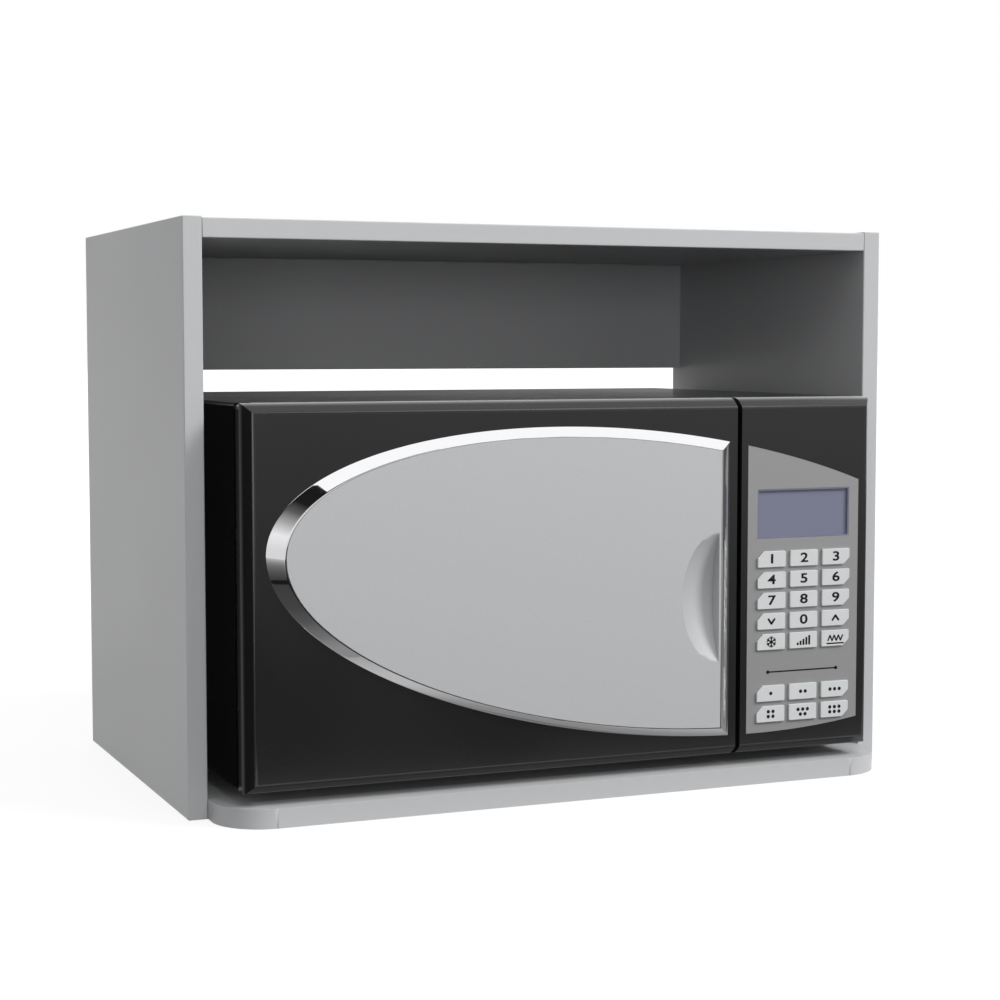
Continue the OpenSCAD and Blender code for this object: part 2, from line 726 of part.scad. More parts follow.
mica_t = 0.8;
module mica_cover() color([0.80, 0.76, 0.66]) box(
    [sx1 - mica_t, guide_y0 - mica_over, guide_z0 - mica_over],
    [sx1, guide_y1 + mica_over, guide_z1 + mica_over]);

gland_x = body_x1 - 60;
gland_z = oz0 + 40;
gland_r = gland_bore;

// Fan intake: slots cut off at a circle; exhaust: rows of short slots
exhaust_slots = 16;
exhaust_x = body_x0 + 40;
exhaust_h = oven_h * 0.1;
exhaust_step = oven_h * 0.14;

module rear_vents() {
    half = round(fan_dia / 2 / vent_pitch);
    intersection() {
        translate([fan_x, fan_z]) circle(r = fan_dia / 2);
        for (i = [-half : half]) translate([fan_x + i * vent_pitch - vent_w / 2, fan_z - fan_dia])
            square([vent_w, 2 * fan_dia]);
    }
    for (i = [0 : exhaust_slots - 1], j = [0, 1])
        translate([exhaust_x + i * vent_pitch, fan_z + j * exhaust_step]) square([vent_w, exhaust_h]);
}

module rear_plate() color(dark_steel) forward(rear_y1, sheet_t) difference() {
    in_wrap();
    rear_vents();
    translate([gland_x, gland_z]) circle(r = gland_r + run);
    for (p = wrap_screws) translate(p) circle(r = screw_hole);
}

// Ring that carries the mains cord through the rear plate
module cord_gland() color(plastic_black) translate([gland_x, rear_y1, gland_z]) rotate([90, 0, 0])
    rotate_extrude() polygon([
        [gland_bore / 2, -4], [gland_r + 1, -4], [gland_r + 3, -2], [gland_r + 3, 0], [gland_r, 0],
        [gland_r, sheet_t], [gland_r + 1.5, sheet_t + 1], [gland_r, gland_len - 4],
        [gland_bore / 2, gland_len - 4]
    ]);

// ---------------------------------------------------------------- oven front

// Section through the bevelled front, w wide and d deep, its face at y = 0
bevel_steps = 8;
function front_section(w, d, r) = rounded(
    [[0, d], [0, bevel_d], [bevel_w, 0], [w - bevel_w, 0], [w, bevel_d], [w, d]],
    [r, bevel_outer_r, bevel_inner_r, bevel_inner_r, bevel_outer_r, r], bevel_steps);

// The whole front as one bevelled block: two sections, from above and from the side
module front_block(d, r) intersection() {
    translate([ox0, oy0, oz0 - 1]) linear_extrude(oven_h + 2) polygon(front_section(oven_w, d, r));
    translate([ox1 + 1, oy0, oz0]) rotate([0, -90, 0])
        linear_extrude(oven_w + 2) polygon(front_section(oven_h, d, r / 2));
}

// Places where the hollow behind the bevel meets the side wall and the front wall
bevel_line = bevel_w * bevel_d + skin * norm([bevel_w, bevel_d]);
hollow_y = (bevel_line - bevel_d * skin) / bevel_w;
hollow_x = (bevel_line - bevel_w * skin) / bevel_d;

function hollow_section(w) = [
    [skin, front_d + 2 * skin], [skin, hollow_y], [hollow_x, skin],
    [w - hollow_x, skin], [w - skin, hollow_y], [w - skin, front_d + 2 * skin]
];

// Space inside the bevelled front, one wall behind its faces
module front_hollow() intersection() {
    translate([ox0, oy0, oz0 - 1]) linear_extrude(oven_h + 2) polygon(hollow_section(oven_w));
    translate([ox1 + 1, oy0, oz0]) rotate([0, -90, 0])
        linear_extrude(oven_w + 2) polygon(hollow_section(oven_h));
}

// Height of the ellipse's upper (side = 1) or lower (side = -1) edge at x
function sweep_edge(x, side) =
    let (u = x - sweep_x, c = cos(sweep_lean), s = sin(sweep_lean),
         aa = sweep_a * sweep_a, bb = sweep_b * sweep_b,
         k2 = s * s / aa + c * c / bb, k1 = 2 * u * c * s * (1 / aa - 1 / bb),
         k0 = u * u * (c * c / aa + s * s / bb) - 1)
    sweep_z + (side * sqrt(max(0, k1 * k1 - 4 * k2 * k0)) - k1) / (2 * k2);

// Part of the ellipse between x0 and x1, closed by straight edges
function sweep_part(x0, x1, n) =
    let (t0 = acos(min(1, (sweep_x - x0) / sweep_reach)), t1 = acos((sweep_x - x1) / sweep_reach),
         xs = [for (i = [0 : n]) sweep_x - sweep_reach * cos(t0 + (t1 - t0) * i / n)])
    concat([for (i = [0 : n]) [xs[i], sweep_edge(xs[i], 1)]],
           [for (i = [n : -1 : (t0 > 0 ? 0 : 1)]) [xs[i], sweep_edge(xs[i], -1)]]);

sweep_steps = 48;
door_sweep = sweep_part(sweep_x - sweep_reach, rim_x1, sweep_steps);

// Share that is left of the outline when its straight edge moves in
function rim_share(inset) = 1 - inset / (rim_x1 - aim_x);
module rim_outline(inset) translate([aim_x, aim_z]) scale(rim_share(inset)) translate([-aim_x, -aim_z])
    polygon(door_sweep);

// Bright frame of the door panel: all its slopes aim at one point
module door_rim() color([0.92, 0.92, 0.93]) difference() {
    translate([aim_x, oy0, aim_z]) rotate([90, 0, 0]) linear_extrude(rim_h, scale = rim_share(rim_in))
        translate([-aim_x, -aim_z]) polygon(door_sweep);
    forward(oy0 + 1, rim_h + 2) rim_outline(rim_in + rim_land);
}

// Ball of the finger pull, grown by g, cut off at its straight wall
module pull_ball(g) intersection() {
    translate([pull_x, y_face - pull_r + pull_d, pull_z]) scale([1, 1, pull_tall])
        sphere(r = pull_r + g, $fn = 96);
    box([pull_x - 2 * pull_w, y_face - 1, pull_z - pull_h], [pull_x + g, y_back, pull_z + pull_h]);
}

module door_panel() color(silver_grey) difference() {
    union() {
        difference() {
            forward(oy0, rim_h) rim_outline(panel_in);
            forward(oy0 + 1, rim_h + 1 - panel_t) rim_outline(panel_in + panel_t);
        }
        intersection() {
            pull_ball(pull_t);
            box([ox0, y_face, oz0], [rim_x1 - panel_in, y_back, oz1]);
        }
    }
    pull_ball(0);
}

// Opening in the door for the pull's cup, at the section where the cup meets the door
cup_r = sqrt(pow(pull_r + pull_t, 2) - pow(pull_r - pull_d + rim_h, 2)) + clear;
module cup_opening() intersection() {
    translate([pull_x, pull_z]) polygon([for (a = [0 : 5 : 355]) cup_r * [cos(a), pull_tall * sin(a)]]);
    translate([pull_x - 2 * pull_w, pull_z - pull_h]) square([2 * pull_w + pull_t + clear, 2 * pull_h]);
}

// Posts for the door's inner plate, and blocks at its corners for the hinge pins
post_r = 4;
post_in = 16;
choke_posts = [for (x = [0.15, 0.5, 0.85], z = [oz0 + post_in, oz1 - post_in])
    [ox0 + (door_x1 - ox0) * x, z]];
hinge_block_w = 16;
hinge_block_h = 22;

module door_frame() color(plastic_black) difference() {
    union() {
        difference() {
            intersection() {
                front_block(front_d, rear_r);
                box([ox0 - 1, y_face, oz0 - 1], [door_x1, y_back + 1, oz1 + 1]);
            }
            difference() {
                intersection() {
                    front_hollow();
                    box([ox0, oy0, oz0], [door_x1 - skin, y_back + 1, oz1]);
                }
                for (z = [oz0, oz1 - hinge_block_h])
                    box([ox0, oy0, z], [ox0 + hinge_block_w, y_back + 2, z + hinge_block_h]);
            }
        }
        for (p = choke_posts) rod_y(p.x, p.y, post_r, y_skin - 1, y_choke);
    }
    forward(y_skin + 1, skin + 2) cup_opening();
    for (s = [-1, 1]) translate([0, 0, s > 0 ? oz1 : oz0]) {
        box([ox0 - 1, notch_y, s > 0 ? -hinge_notch : -1],
            [hinge_x + hinge_in + clear, y_back + 1, s > 0 ? 1 : hinge_notch]);
        translate([hinge_x, hinge_y, s > 0 ? -hinge_notch - pin_len - clear : 0])
            cylinder(r = pin_dia / 2 + run, h = hinge_notch + pin_len + clear);
    }
}

// Tongue of a hinge plate, seen from above; it turns in the door's notch
module hinge_tongue(t, g) {
    translate([hinge_x, hinge_y, 0]) cylinder(r = hinge_arm + g, h = t);
    box([hinge_x - hinge_arm - g, hinge_y, 0],
        [hinge_x + hinge_in - clear + g, y_plate + sheet_t + seat + 1, t]);
}
hinge_top = oz1 - hinge_notch + seat;
hinge_low = oz0 + hinge_notch - seat - hinge_t;

module hinge_slots() for (z = [hinge_top, hinge_low])
    translate([0, 0, z - seat]) box([body_x0 - 1, y_plate - 1, 0],
        [hinge_x + hinge_in, y_plate + 2 * sheet_t, hinge_t + 2 * seat]);

module hinge_plates() color(steel) {
    flange_h = hinge_t * 13;
    flange_w = hinge_t * 12;
    y_flange = y_plate + sheet_t + seat;
    y_flange_1 = y_flange + hinge_t * 0.75;
    translate([0, 0, hinge_top]) hinge_tongue(hinge_t, 0);
    translate([hinge_x, hinge_y, hinge_top - pin_len]) cylinder(d = pin_dia, h = pin_len + 1);
    box([body_x0, y_flange, hinge_top + hinge_t - flange_h],
        [body_x0 + flange_w, y_flange_1, hinge_top + hinge_t]);
    translate([0, 0, hinge_low]) hinge_tongue(hinge_t, 0);
    translate([hinge_x, hinge_y, hinge_low + hinge_t - 1]) cylinder(d = pin_dia, h = pin_len + 1);
    box([body_x0, y_flange, hinge_low], [body_x0 + flange_w, y_flange_1, hinge_low + flange_h]);
}

// Edges of the door's inner plate and of its raised middle
choke_x0 = ox0 + hinge_block_w + seat;
choke_x1 = door_x1 - skin - seat;
choke_z0 = oz0 + skin + seat;
choke_z1 = oz1 - skin - seat;
pan_in = 6;
pan_lift = y_back - y_choke - seat;

module pan_box(g, y0, y1)
    box([sx0 + pan_in - g, y0, sz0 + pan_in - g], [sx1 - pan_in + g, y1, sz1 - pan_in + g]);

// Steel plate of the door: a raised pan that fills the oven's mouth, with a groove round it
module choke_plate() color(dark_steel) difference() {
    union() {
        box([choke_x0, y_choke, choke_z0], [choke_x1, y_choke + sheet_t, choke_z1]);
        pan_box(0, y_choke, y_choke + pan_lift);
    }
    pan_box(-sheet_t, y_choke - 1, y_choke + pan_lift - sheet_t);
    hook_slots(y_choke - 1, y_choke + 2 * sheet_t);
}

// Plastic cover of the groove
liner_t = 2;
module door_liner() color(plastic_black) difference() {
    box([choke_x0, y_choke + sheet_t, choke_z0], [choke_x1, y_back - seat, choke_z1]);
    pan_box(seat, y_choke, y_back + 1);
    difference() {
        box([choke_x0 + liner_t, y_choke, choke_z0 + liner_t],
            [choke_x1 - liner_t, y_back - seat - liner_t, choke_z1 - liner_t]);
        pan_box(seat + liner_t, y_choke - 1, y_back + 1);
    }
    hook_slots(y_choke - 1, y_back + 1);
}

// Two hooks on one sliding bar; each has a cut nose and a barb
hook_nose = 3;
module latch_hooks() color(nylon) {
    box([latch_x - bar_w / 2, y_bar - bar_t, hook_zs[0] - bar_w],
        [latch_x + bar_w / 2, y_bar, hook_zs[1] + hook_h + bar_w]);
    for (z = hook_zs) translate([latch_x - hook_t / 2, 0, z])
        rotate([90, 0, 90]) linear_extrude(hook_t) polygon([
            [y_bar - 1, 0], [hook_y - hook_nose - 2, 0], [hook_y - hook_nose - 2, -hook_barb],
            [hook_y - hook_nose, -hook_barb], [hook_y, 0], [hook_y, hook_h - hook_nose],
            [hook_y - hook_nose, hook_h], [y_bar - 1, hook_h]
        ]);
}

// Catch and switch carrier behind the front plate
module latch_block() color(nylon) {
    difference() {
        box([latch_x - block_w / 2, block_y0, hook_zs[0] - block_w * 0.7],
            [latch_x + block_w / 2, block_y1, hook_zs[1] + hook_h + block_w * 0.8]);
        hook_slots(block_y0 - 1, hook_y + 1);
    }
    // Three switches stand on the block
    for (i = [1 : 3])
        translate([latch_x - switch_w / 2, block_y1, hook_zs[0] + (hook_zs[1] - hook_zs[0]) * i / 4])
            cube([switch_w, switch_w * 1.6, switch_w * 2.5]);
}

// ---------------------------------------------------------------- control panel

fascia_steps = 14;
fascia_outline = sweep_part(fascia_x0, fascia_x1, fascia_steps);

// Outline of a key in column col, grown by g; the outer columns have a cut corner
function key_outline(col, g) =
    let (w = key_w / 2 + g, h = key_h / 2 + g, k = key_cut, s = col == 0 ? 1 : -1,
         p = [[-w, -h], [-w, h - k], [-w + k, h], [w, h], [w, -h]],
         q = [[-w, -h], [-w, h], [w, h], [w, -h]])
    rounded(col == 1 ? q : [for (c = p) s * c], [for (i = [0 : 4]) key_r], 3);

function key_place(k) = [
    panel_mid + (k[1] - 1) * key_pitch_x,
    key_z - (k[2] + (k[2] > 4 ? key_break : 0)) * key_pitch_z
];

module key_openings() for (k = KEYS) translate(key_place(k)) polygon(key_outline(k[1], slip));

module display_opening(g) translate([panel_mid - display_w / 2 - g, display_z - display_h / 2 - g])
    square([display_w + 2 * g, display_h + 2 * g]);

board_post_r = 3.5;
board_post_in = 4 * board_post_r;
board_posts = [for (x = [bezel_x0 + 3 * board_post_r, ox1 - 3 * board_post_r],
    z = [oz0 + board_post_in, oz1 - board_post_in]) [x, z]];

module control_bezel() color(plastic_black) difference() {
    union() {
        difference() {
            intersection() {
                front_block(front_d + seam, rear_r);
                box([bezel_x0, y_face, oz0 - 1], [ox1 + 1, y_plate + 1, oz1 + 1]);
            }
            intersection() {
                front_hollow();
                box([bezel_x0 + skin, oy0, oz0], [ox1, y_plate + 1, oz1]);
            }
        }
        for (p = board_posts) rod_y(p.x, p.y, board_post_r, y_skin - 1, y_pcb);
    }
    forward(y_recess, 2 * skin) fascia_recess();
    forward(y_skin + 1, 2 * skin) {
        key_openings();
        display_opening(slip);
    }
}

module fascia_recess() polygon(sweep_part(fascia_x0 - slip, fascia_x1 + slip, fascia_steps));

module fascia() color(silver_grey) forward(y_recess, fascia_t) difference() {
    intersection() {
        polygon(fascia_outline);
        translate([0, slip]) polygon(fascia_outline);
        translate([0, -slip]) polygon(fascia_outline);
    }
    key_openings();
    display_opening(slip);
}

// Tinted window in a shallow tray, whose rim lines the opening
module display() color([0.46, 0.47, 0.58]) {
    forward(y_skin + display_d, display_d) display_opening(2 * display_t);
    forward(y_skin + clear, skin + clear - display_deep) display_opening(-display_t / 2);
    forward(y_skin + clear, skin + clear) difference() {
        display_opening(0);
        display_opening(-display_t);
    }
}

module control_board() color([0.10, 0.32, 0.20]) {
    relay = panel_w * 0.08;
    edge = skin + seat;
    box([bezel_x0 + edge, y_pcb, oz0 + edge], [ox1 - edge, y_pcb + pcb_t, oz1 - edge]);
    for (k = KEYS) {
        p = key_place(k);
        box([p.x - switch_h, y_pcb - switch_h, p.y - switch_h], [p.x + switch_h, y_pcb, p.y + switch_h]);
        rod_y(p.x, p.y, button_r, y_pcb - switch_h - button_h, y_pcb);
    }
    // Relays on the left, a transformer on the right
    for (i = [1 : 5]) translate([panel_mid - relay * 3, y_pcb, oz0 + oven_h * (i * 0.146 + 0.06)])
        cube([relay * 2.2, pcb_t + relay * 0.9, relay * 2.8]);
    translate([panel_mid + relay * 0.8, y_pcb, oz0 + oven_h * 0.24])
        cube([relay * 2.8, pcb_t + relay * 0.8, relay * 5]);
}

// A key: cap, shoulder behind the panel and stem over its switch
module key(k) color(key_white) translate([key_place(k).x, 0, key_place(k).y]) {
    forward(y_shoulder + shoulder_t, y_shoulder + shoulder_t - y_key) polygon(key_outline(k[1], 0));
    forward(y_shoulder + shoulder_t, shoulder_t) polygon(key_outline(k[1], slip + key_flange));
    rod_y(0, 0, button_r, y_shoulder, y_shoulder + shoulder_t + stem_h);
}

// ---------------------------------------------------------------- works

module magnetron() color(steel) {
    w = magnetron_w / 2;
    long = magnetron_w * 1.13;
    yoke = 2 * sheet_t;
    x0 = guide_x1 + seat;
    rod_x(antenna_y, antenna_z, antenna_r, guide_x1 - guide_w * 0.44, x0 + yoke);
    rod_x(antenna_y, antenna_z, w * 0.45, x0, x0 + long);
    for (x = [x0, x0 + long - yoke])
        box([x, antenna_y - w, antenna_z - w], [x + yoke, antenna_y + w, antenna_z + w]);
    for (z = [antenna_z - w, antenna_z + w - yoke])
        box([x0, antenna_y - w, z], [x0 + long, antenna_y + w, z + yoke]);
    for (i = [2 : 11]) translate([x0 + long * (i * 0.07 + 0.045), antenna_y, antenna_z])
        cube([sheet_t, magnetron_w * 0.9, magnetron_w - yoke], center = true);
}

// High-voltage transformer and its capacitor, on the base
module power_supply() color(dark_steel) {
    w = transformer_w;
    can = w * 0.18;
    translate([fan_x - w / 2, y_plate + w * 0.55, oz0 + sheet_t]) {
        box([0, 0, w * 0.13], [w, w * 0.51, w * 0.93]);
        box([w * 0.16, -w * 0.13, w * 0.29], [w * 0.84, w * 0.64, w * 0.78]);
        for (x = [0, w * 0.95]) box([x, 0, 0], [x + w * 0.05, w * 0.51, w * 0.14]);
        for (x = [w * 0.28, w * 0.55]) translate([x, w * 0.89, 0]) cylinder(r = can, h = w * 0.78);
        box([w * 0.28, w * 0.89 - can, 0], [w * 0.55, w * 0.89 + can, w * 0.78]);
    }
}

// Shroud on the rear plate, with the motor on three arms in front of it
module fan_motor() color(dark_steel) {
    y0 = rear_y0;
    edge = fan_ring + 2 * ring_t;
    arm = 5;
    difference() {
        union() {
            box([fan_x - edge, y0 - ring_t, fan_z - edge], [fan_x + edge, y0, fan_z + edge]);
            rod_y(fan_x, fan_z, fan_ring + ring_t, y0 - shroud_d, y0);
        }
        rod_y(fan_x, fan_z, fan_ring, y0 - shroud_d - 1, y0 + 1);
    }
    difference() {
        union() {
            rod_y(fan_x, fan_z, fan_dia * 0.22, y0 - fan_back - fan_dia * 0.26, y0 - fan_back);
            for (i = [1 : 3]) translate([fan_x, y0 - fan_back, fan_z]) rotate([0, i * 120 - 30, 0]) {
                box([0, -arm / 2, -arm], [fan_ring + ring_t, 0, arm]);
                box([fan_ring + ring_t / 4, -arm / 2, -arm],
                    [fan_ring + ring_t, fan_back - shroud_d + 1, arm]);
            }
        }
        rod_y(fan_x, fan_z, shaft_dia / 2 + run, y0 - fan_back - fan_dia * 0.16, y0 - fan_back + 1);
    }
}

module fan() color(nylon) {
    hub = fan_dia * 0.12;
    blade_t = 1.4;
    y0 = rear_y0 - shroud_d - fan_dia * 0.06;
    rod_y(fan_x, fan_z, shaft_dia / 2, rear_y0 - fan_back - fan_dia * 0.14, y0 + hub * 1.5);
    rod_y(fan_x, fan_z, hub, y0, y0 + hub * 1.3);
    for (i = [0 : fan_blades - 1]) translate([fan_x, y0 + hub * 0.7, fan_z])
        rotate([0, i * 360 / fan_blades, 0]) rotate([30, 0, 0])
            box([hub * 0.7, -blade_t / 2, -hub], [fan_dia / 2, blade_t / 2, hub]);
}

// ---------------------------------------------------------------- turntable

motor_h = coupler_dia * 0.375;
stem_in = motor_h * 0.5;
arm_h = 7;
arm_w = 6;
module turntable_motor() color(steel) difference() {
    translate([turn_x, turn_y, sz0 - sheet_t - motor_h]) cylinder(d = coupler_dia * 1.2, h = motor_h);
    translate([turn_x, turn_y, sz0 - sheet_t - stem_in - clear])
        cylinder(d = stem_dia + 2 * run, h = motor_h);
}

// Stem in the motor, hub on the floor and three arms under the tray
module coupler() color(nylon) translate([turn_x, turn_y, 0]) {
    translate([0, 0, sz0 - sheet_t - stem_in]) cylinder(d = stem_dia, h = stem_in + 4);
    translate([0, 0, sz0 + seat]) cylinder(d = coupler_dia / 2, h = tray_z - sz0 - seat);
    for (i = [0 : 2]) rotate([0, 0, i * 120])
        box([0, -arm_w / 2, tray_z - arm_h], [coupler_dia / 2, arm_w / 2, tray_z]);
}

function roller_turn(i) = i * 120 - 30;

module roller_ring() color(nylon) translate([turn_x, turn_y, roller_z]) {
    r = roller_out - roller_w / 2 - clear;
    cap = roller_out + roller_w / 2 + clear;
    ring_w = roller_w * 0.75;
    ring_h = roller_dia * 0.44;
    rotate_extrude($fn = 96) translate([r - ring_w, -ring_h / 2]) square([ring_w, ring_h]);
    for (i = [1 : 3]) rotate([0, 0, roller_turn(i)]) {
        rod_x(0, 0, peg_dia / 2, r - 2, cap + 2);
        rod_x(0, 0, peg_dia / 2 + 0.6, cap, cap + 2);
    }
}

module roller(i) color(nylon) translate([turn_x, turn_y, roller_z])
    rotate([0, 0, roller_turn(i)]) rotate([0, 90, 0])
    rotate_extrude() polygon([
        [peg_dia / 2 + run, roller_out - roller_w / 2], [roller_dia / 2 - 1, roller_out - roller_w / 2],
        [roller_dia / 2, roller_out - roller_w / 2 + 1], [roller_dia / 2, roller_out + roller_w / 2 - 1],
        [roller_dia / 2 - 1, roller_out + roller_w / 2], [peg_dia / 2 + run, roller_out + roller_w / 2]
    ]);

// Glass tray: flat middle, raised edge, and three knobs that the coupler's arms push
module glass_tray() color([0.80, 0.86, 0.86, 0.4]) translate([turn_x, turn_y, tray_z]) {
    r = tray_dia / 2;
    slope = 16;
    rotate_extrude($fn = 128) polygon([
        [0, 0], [r - slope, 0], [r - 2, tray_rim - 3], [r, tray_rim], [r, tray_rim + 2],
        [r - 3, tray_rim + 2], [r - slope - 2, glass_t], [0, glass_t]
    ]);
    for (i = [0 : 2]) rotate([0, 0, i * 120 + 60]) translate([coupler_dia * 0.375, 0, -5])
        cylinder(d = stem_dia, h = 6);
}

// ---------------------------------------------------------------- what is drawn

left_side();
right_side();
top_board();
bottom_board();
back_rail();
dowels();
cam_fittings();
hanger_plates();
screws();
oven_casing();
oven_base();
oven_feet();
cavity();
rear_plate();
cord_gland();
control_bezel();
fascia();
display();
control_board();
latch_block();
hinge_plates();
magnetron();
power_supply();
fan_motor();
fan();
turntable_motor();
coupler();
roller_ring();
for (i = [1 : 3]) roller(i);
glass_tray();
mica_cover();
door_frame();
door_panel();
door_rim();
choke_plate();
door_liner();
latch_hooks();
for (k = KEYS) key(k);
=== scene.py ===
# %% [markdown]
# # A wall cabinet with a microwave oven
# The cabinet is five coated boards. The oven stands on the lowest one: a black sheet
# wrap, a bevelled black front, a silver door panel inside a bright rim, and a keypad.
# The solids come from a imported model, the frame. This script gives them their finishes,
# makes the few pieces whose skin has to be smoother than the solids, and lights the set.

# %% The frame
import math

import bpy
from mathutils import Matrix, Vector


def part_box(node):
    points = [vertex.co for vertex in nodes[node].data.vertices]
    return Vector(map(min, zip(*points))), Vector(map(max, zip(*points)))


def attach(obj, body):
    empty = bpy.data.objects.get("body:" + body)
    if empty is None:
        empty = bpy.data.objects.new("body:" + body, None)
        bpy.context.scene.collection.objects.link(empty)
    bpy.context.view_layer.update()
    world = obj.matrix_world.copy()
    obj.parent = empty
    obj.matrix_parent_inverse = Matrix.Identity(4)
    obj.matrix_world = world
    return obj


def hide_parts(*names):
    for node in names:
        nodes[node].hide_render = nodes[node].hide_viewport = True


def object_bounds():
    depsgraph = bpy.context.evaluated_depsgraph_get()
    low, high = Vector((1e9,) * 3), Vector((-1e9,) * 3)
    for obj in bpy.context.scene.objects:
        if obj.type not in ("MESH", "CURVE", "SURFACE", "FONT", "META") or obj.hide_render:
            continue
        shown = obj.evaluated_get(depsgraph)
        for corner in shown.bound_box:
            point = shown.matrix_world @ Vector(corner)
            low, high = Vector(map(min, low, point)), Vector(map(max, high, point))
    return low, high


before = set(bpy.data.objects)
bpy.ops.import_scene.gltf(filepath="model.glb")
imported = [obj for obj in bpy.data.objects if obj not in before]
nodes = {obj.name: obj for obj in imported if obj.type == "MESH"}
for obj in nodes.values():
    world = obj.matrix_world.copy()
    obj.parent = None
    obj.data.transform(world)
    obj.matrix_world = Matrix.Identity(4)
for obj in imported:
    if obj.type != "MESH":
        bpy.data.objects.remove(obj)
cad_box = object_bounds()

# %% [markdown]
# ## Measures
# Every place is worked out from the solids' own boxes, so that a piece made here sits on
# the piece that carries it. Sizes are in metres; `mm` turns a shop drawing's number into one.

# %% Measures
mm = 0.001

door_low, door_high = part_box("door_frame")
rim_low, rim_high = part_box("door_rim")
front = door_low.y
keys = sorted(name for name in nodes if name.startswith("key_"))
print(f"oven front at y = {front:.4f}, keys: {len(keys)}")

# %% [markdown]
# ## Colours
# A paint maker gives a colour as it looks on a screen, from 0 to 255. Blender mixes light,
# so the number is turned into the amount of light first. Most finishes here are greys.


# %% Colours
def screen(red, green=None, blue=None):
    """A screen colour from 0 to 255 as the amounts of light that Blender uses."""
    green = red if green is None else green
    blue = red if blue is None else blue
    parts = []
    for value in (red, green, blue):
        share = value / 255
        parts.append(share / 12.92 if share <= 0.04045 else ((share + 0.055) / 1.055) ** 2.4)
    return (*parts, 1.0)


board_grey = screen(187, 188, 190)
print("board grey:", [round(part, 3) for part in board_grey])

# %% [markdown]
# ## Shader sums
# A finish is a picture made of numbers: where there is dust, how deep a pore goes. Written
# as nodes, one sum takes a dozen lines. This small class wraps a socket, so that
# `1 - pores * 0.2` is the sum itself and the nodes appear behind it.


# %% Shader sums
class Wire:
    """A node's output that can stand in a sum."""

    def __init__(self, finish, socket):
        self.finish = finish
        self.socket = socket

    def sum(self, operation, first, second):
        return self.finish.node("Math", {"operation": operation}, [first, second])

    def __add__(self, other):
        return self.sum("ADD", self, other)

    def __radd__(self, other):
        return self.sum("ADD", other, self)

    def __sub__(self, other):
        return self.sum("SUBTRACT", self, other)

    def __rsub__(self, other):
        return self.sum("SUBTRACT", other, self)

    def __mul__(self, other):
        return self.sum("MULTIPLY", self, other)

    def __rmul__(self, other):
        return self.sum("MULTIPLY", other, self)

    def __gt__(self, other):
        return self.sum("GREATER_THAN", self, other)

    def __lt__(self, other):
        return self.sum("LESS_THAN", self, other)


# %% [markdown]
# ## Finishes
# One material for one surface: a Principled shader, and one method that adds any node.
# The texture space is the object's own, so a grain stays on its board when a door swings.


# %% Finishes
class Finish:
    """A material with a Principled shader and its nodes."""

    def __init__(self, name, colour, **values):
        self.material = bpy.data.materials.new(name)
        self.material.use_nodes = True
        self.tree = self.material.node_tree
        self.surface = self.tree.nodes["Principled BSDF"]
        self.set(base_color=colour, **values)

    def set(self, **values):
        """Sets or links the shader's sockets: base_color stands for Base Color."""
        for name, value in values.items():
            label = name.replace("_", " ").title().replace("Ior", "IOR")
            self.fill(self.surface.inputs[label], value)

    def fill(self, socket, value):
        if isinstance(value, Wire):
            self.tree.links.new(value.socket, socket)
        else:
            socket.default_value = value

    def node(self, kind, settings=None, inputs=(), output=0):
        """Adds a node: first its settings, then its sockets' values or links."""
        made = self.tree.nodes.new("ShaderNode" + kind)
        for name, value in (settings or {}).items():
            if name == "stops":
                set_stops(made.color_ramp, value)
            else:
                setattr(made, name, value)
        named = inputs.items() if isinstance(inputs, dict) else enumerate(inputs)
        for key, value in named:
            self.fill(made.inputs[key], value)
        return Wire(self, made.outputs[output])

    def place(self):
        return self.node("TexCoord", output="Object")

    def stretched(self, x, y, z):
        """The texture space, drawn out along each axis."""
        return self.node("VectorMath", {"operation": "MULTIPLY"}, [self.place(), (x, y, z)])

    def noise(self, scale, detail=2.0, space=None):
        """Clouds from 0 to 1; the scale is about how many of them fit in a metre."""
        place = space or self.place()
        return self.node("TexNoise", None, {"Vector": place, "Scale": scale, "Detail": detail})

    def cells(self, scale, output="Distance"):
        """Grains like crystals: the way to each grain's middle, or a colour for each."""
        return self.node("TexVoronoi", None, {"Vector": self.place(), "Scale": scale}, output)

    def ramp(self, value, *stops):
        """Maps a value to another along a straight line from stop to stop."""
        return self.node("ValToRGB", {"stops": stops}, [value])

    def blend(self, share, first, second):
        """Mixes two colours: sockets 6 and 7 are the Mix node's colours, output 2 its result."""
        return self.node("Mix", {"data_type": "RGBA"}, {0: share, 6: first, 7: second}, 2)

    def bump(self, height, depth, strength):
        """Tilts the light as if the height, from 0 to 1, were so deep."""
        inputs = {"Height": height, "Distance": depth, "Strength": strength}
        return self.node("Bump", None, inputs)


def set_stops(ramp, stops):
    while len(ramp.elements) < len(stops):
        ramp.elements.new(1.0)
    for element, (place, value) in zip(ramp.elements, stops):
        element.position = place
        element.color = value if isinstance(value, tuple) else (value, value, value, 1.0)


def times(colour, share):
    """A colour made darker or lighter by a plain factor."""
    return tuple(part * share for part in colour[:3]) + (1.0,)


print("shader helpers are ready")

# %% [markdown]
# ## Coated board
# The cabinet's boards are particle board under a thin printed foil. The foil is smooth but
# not dead flat: the chips below telegraph through as a faint, slow orange peel, and handling
# polishes it unevenly. Two noises do this: a slow one for colour and gloss, a fine one for
# the peel. A picture of foil would show its repeats on such plain, large faces.


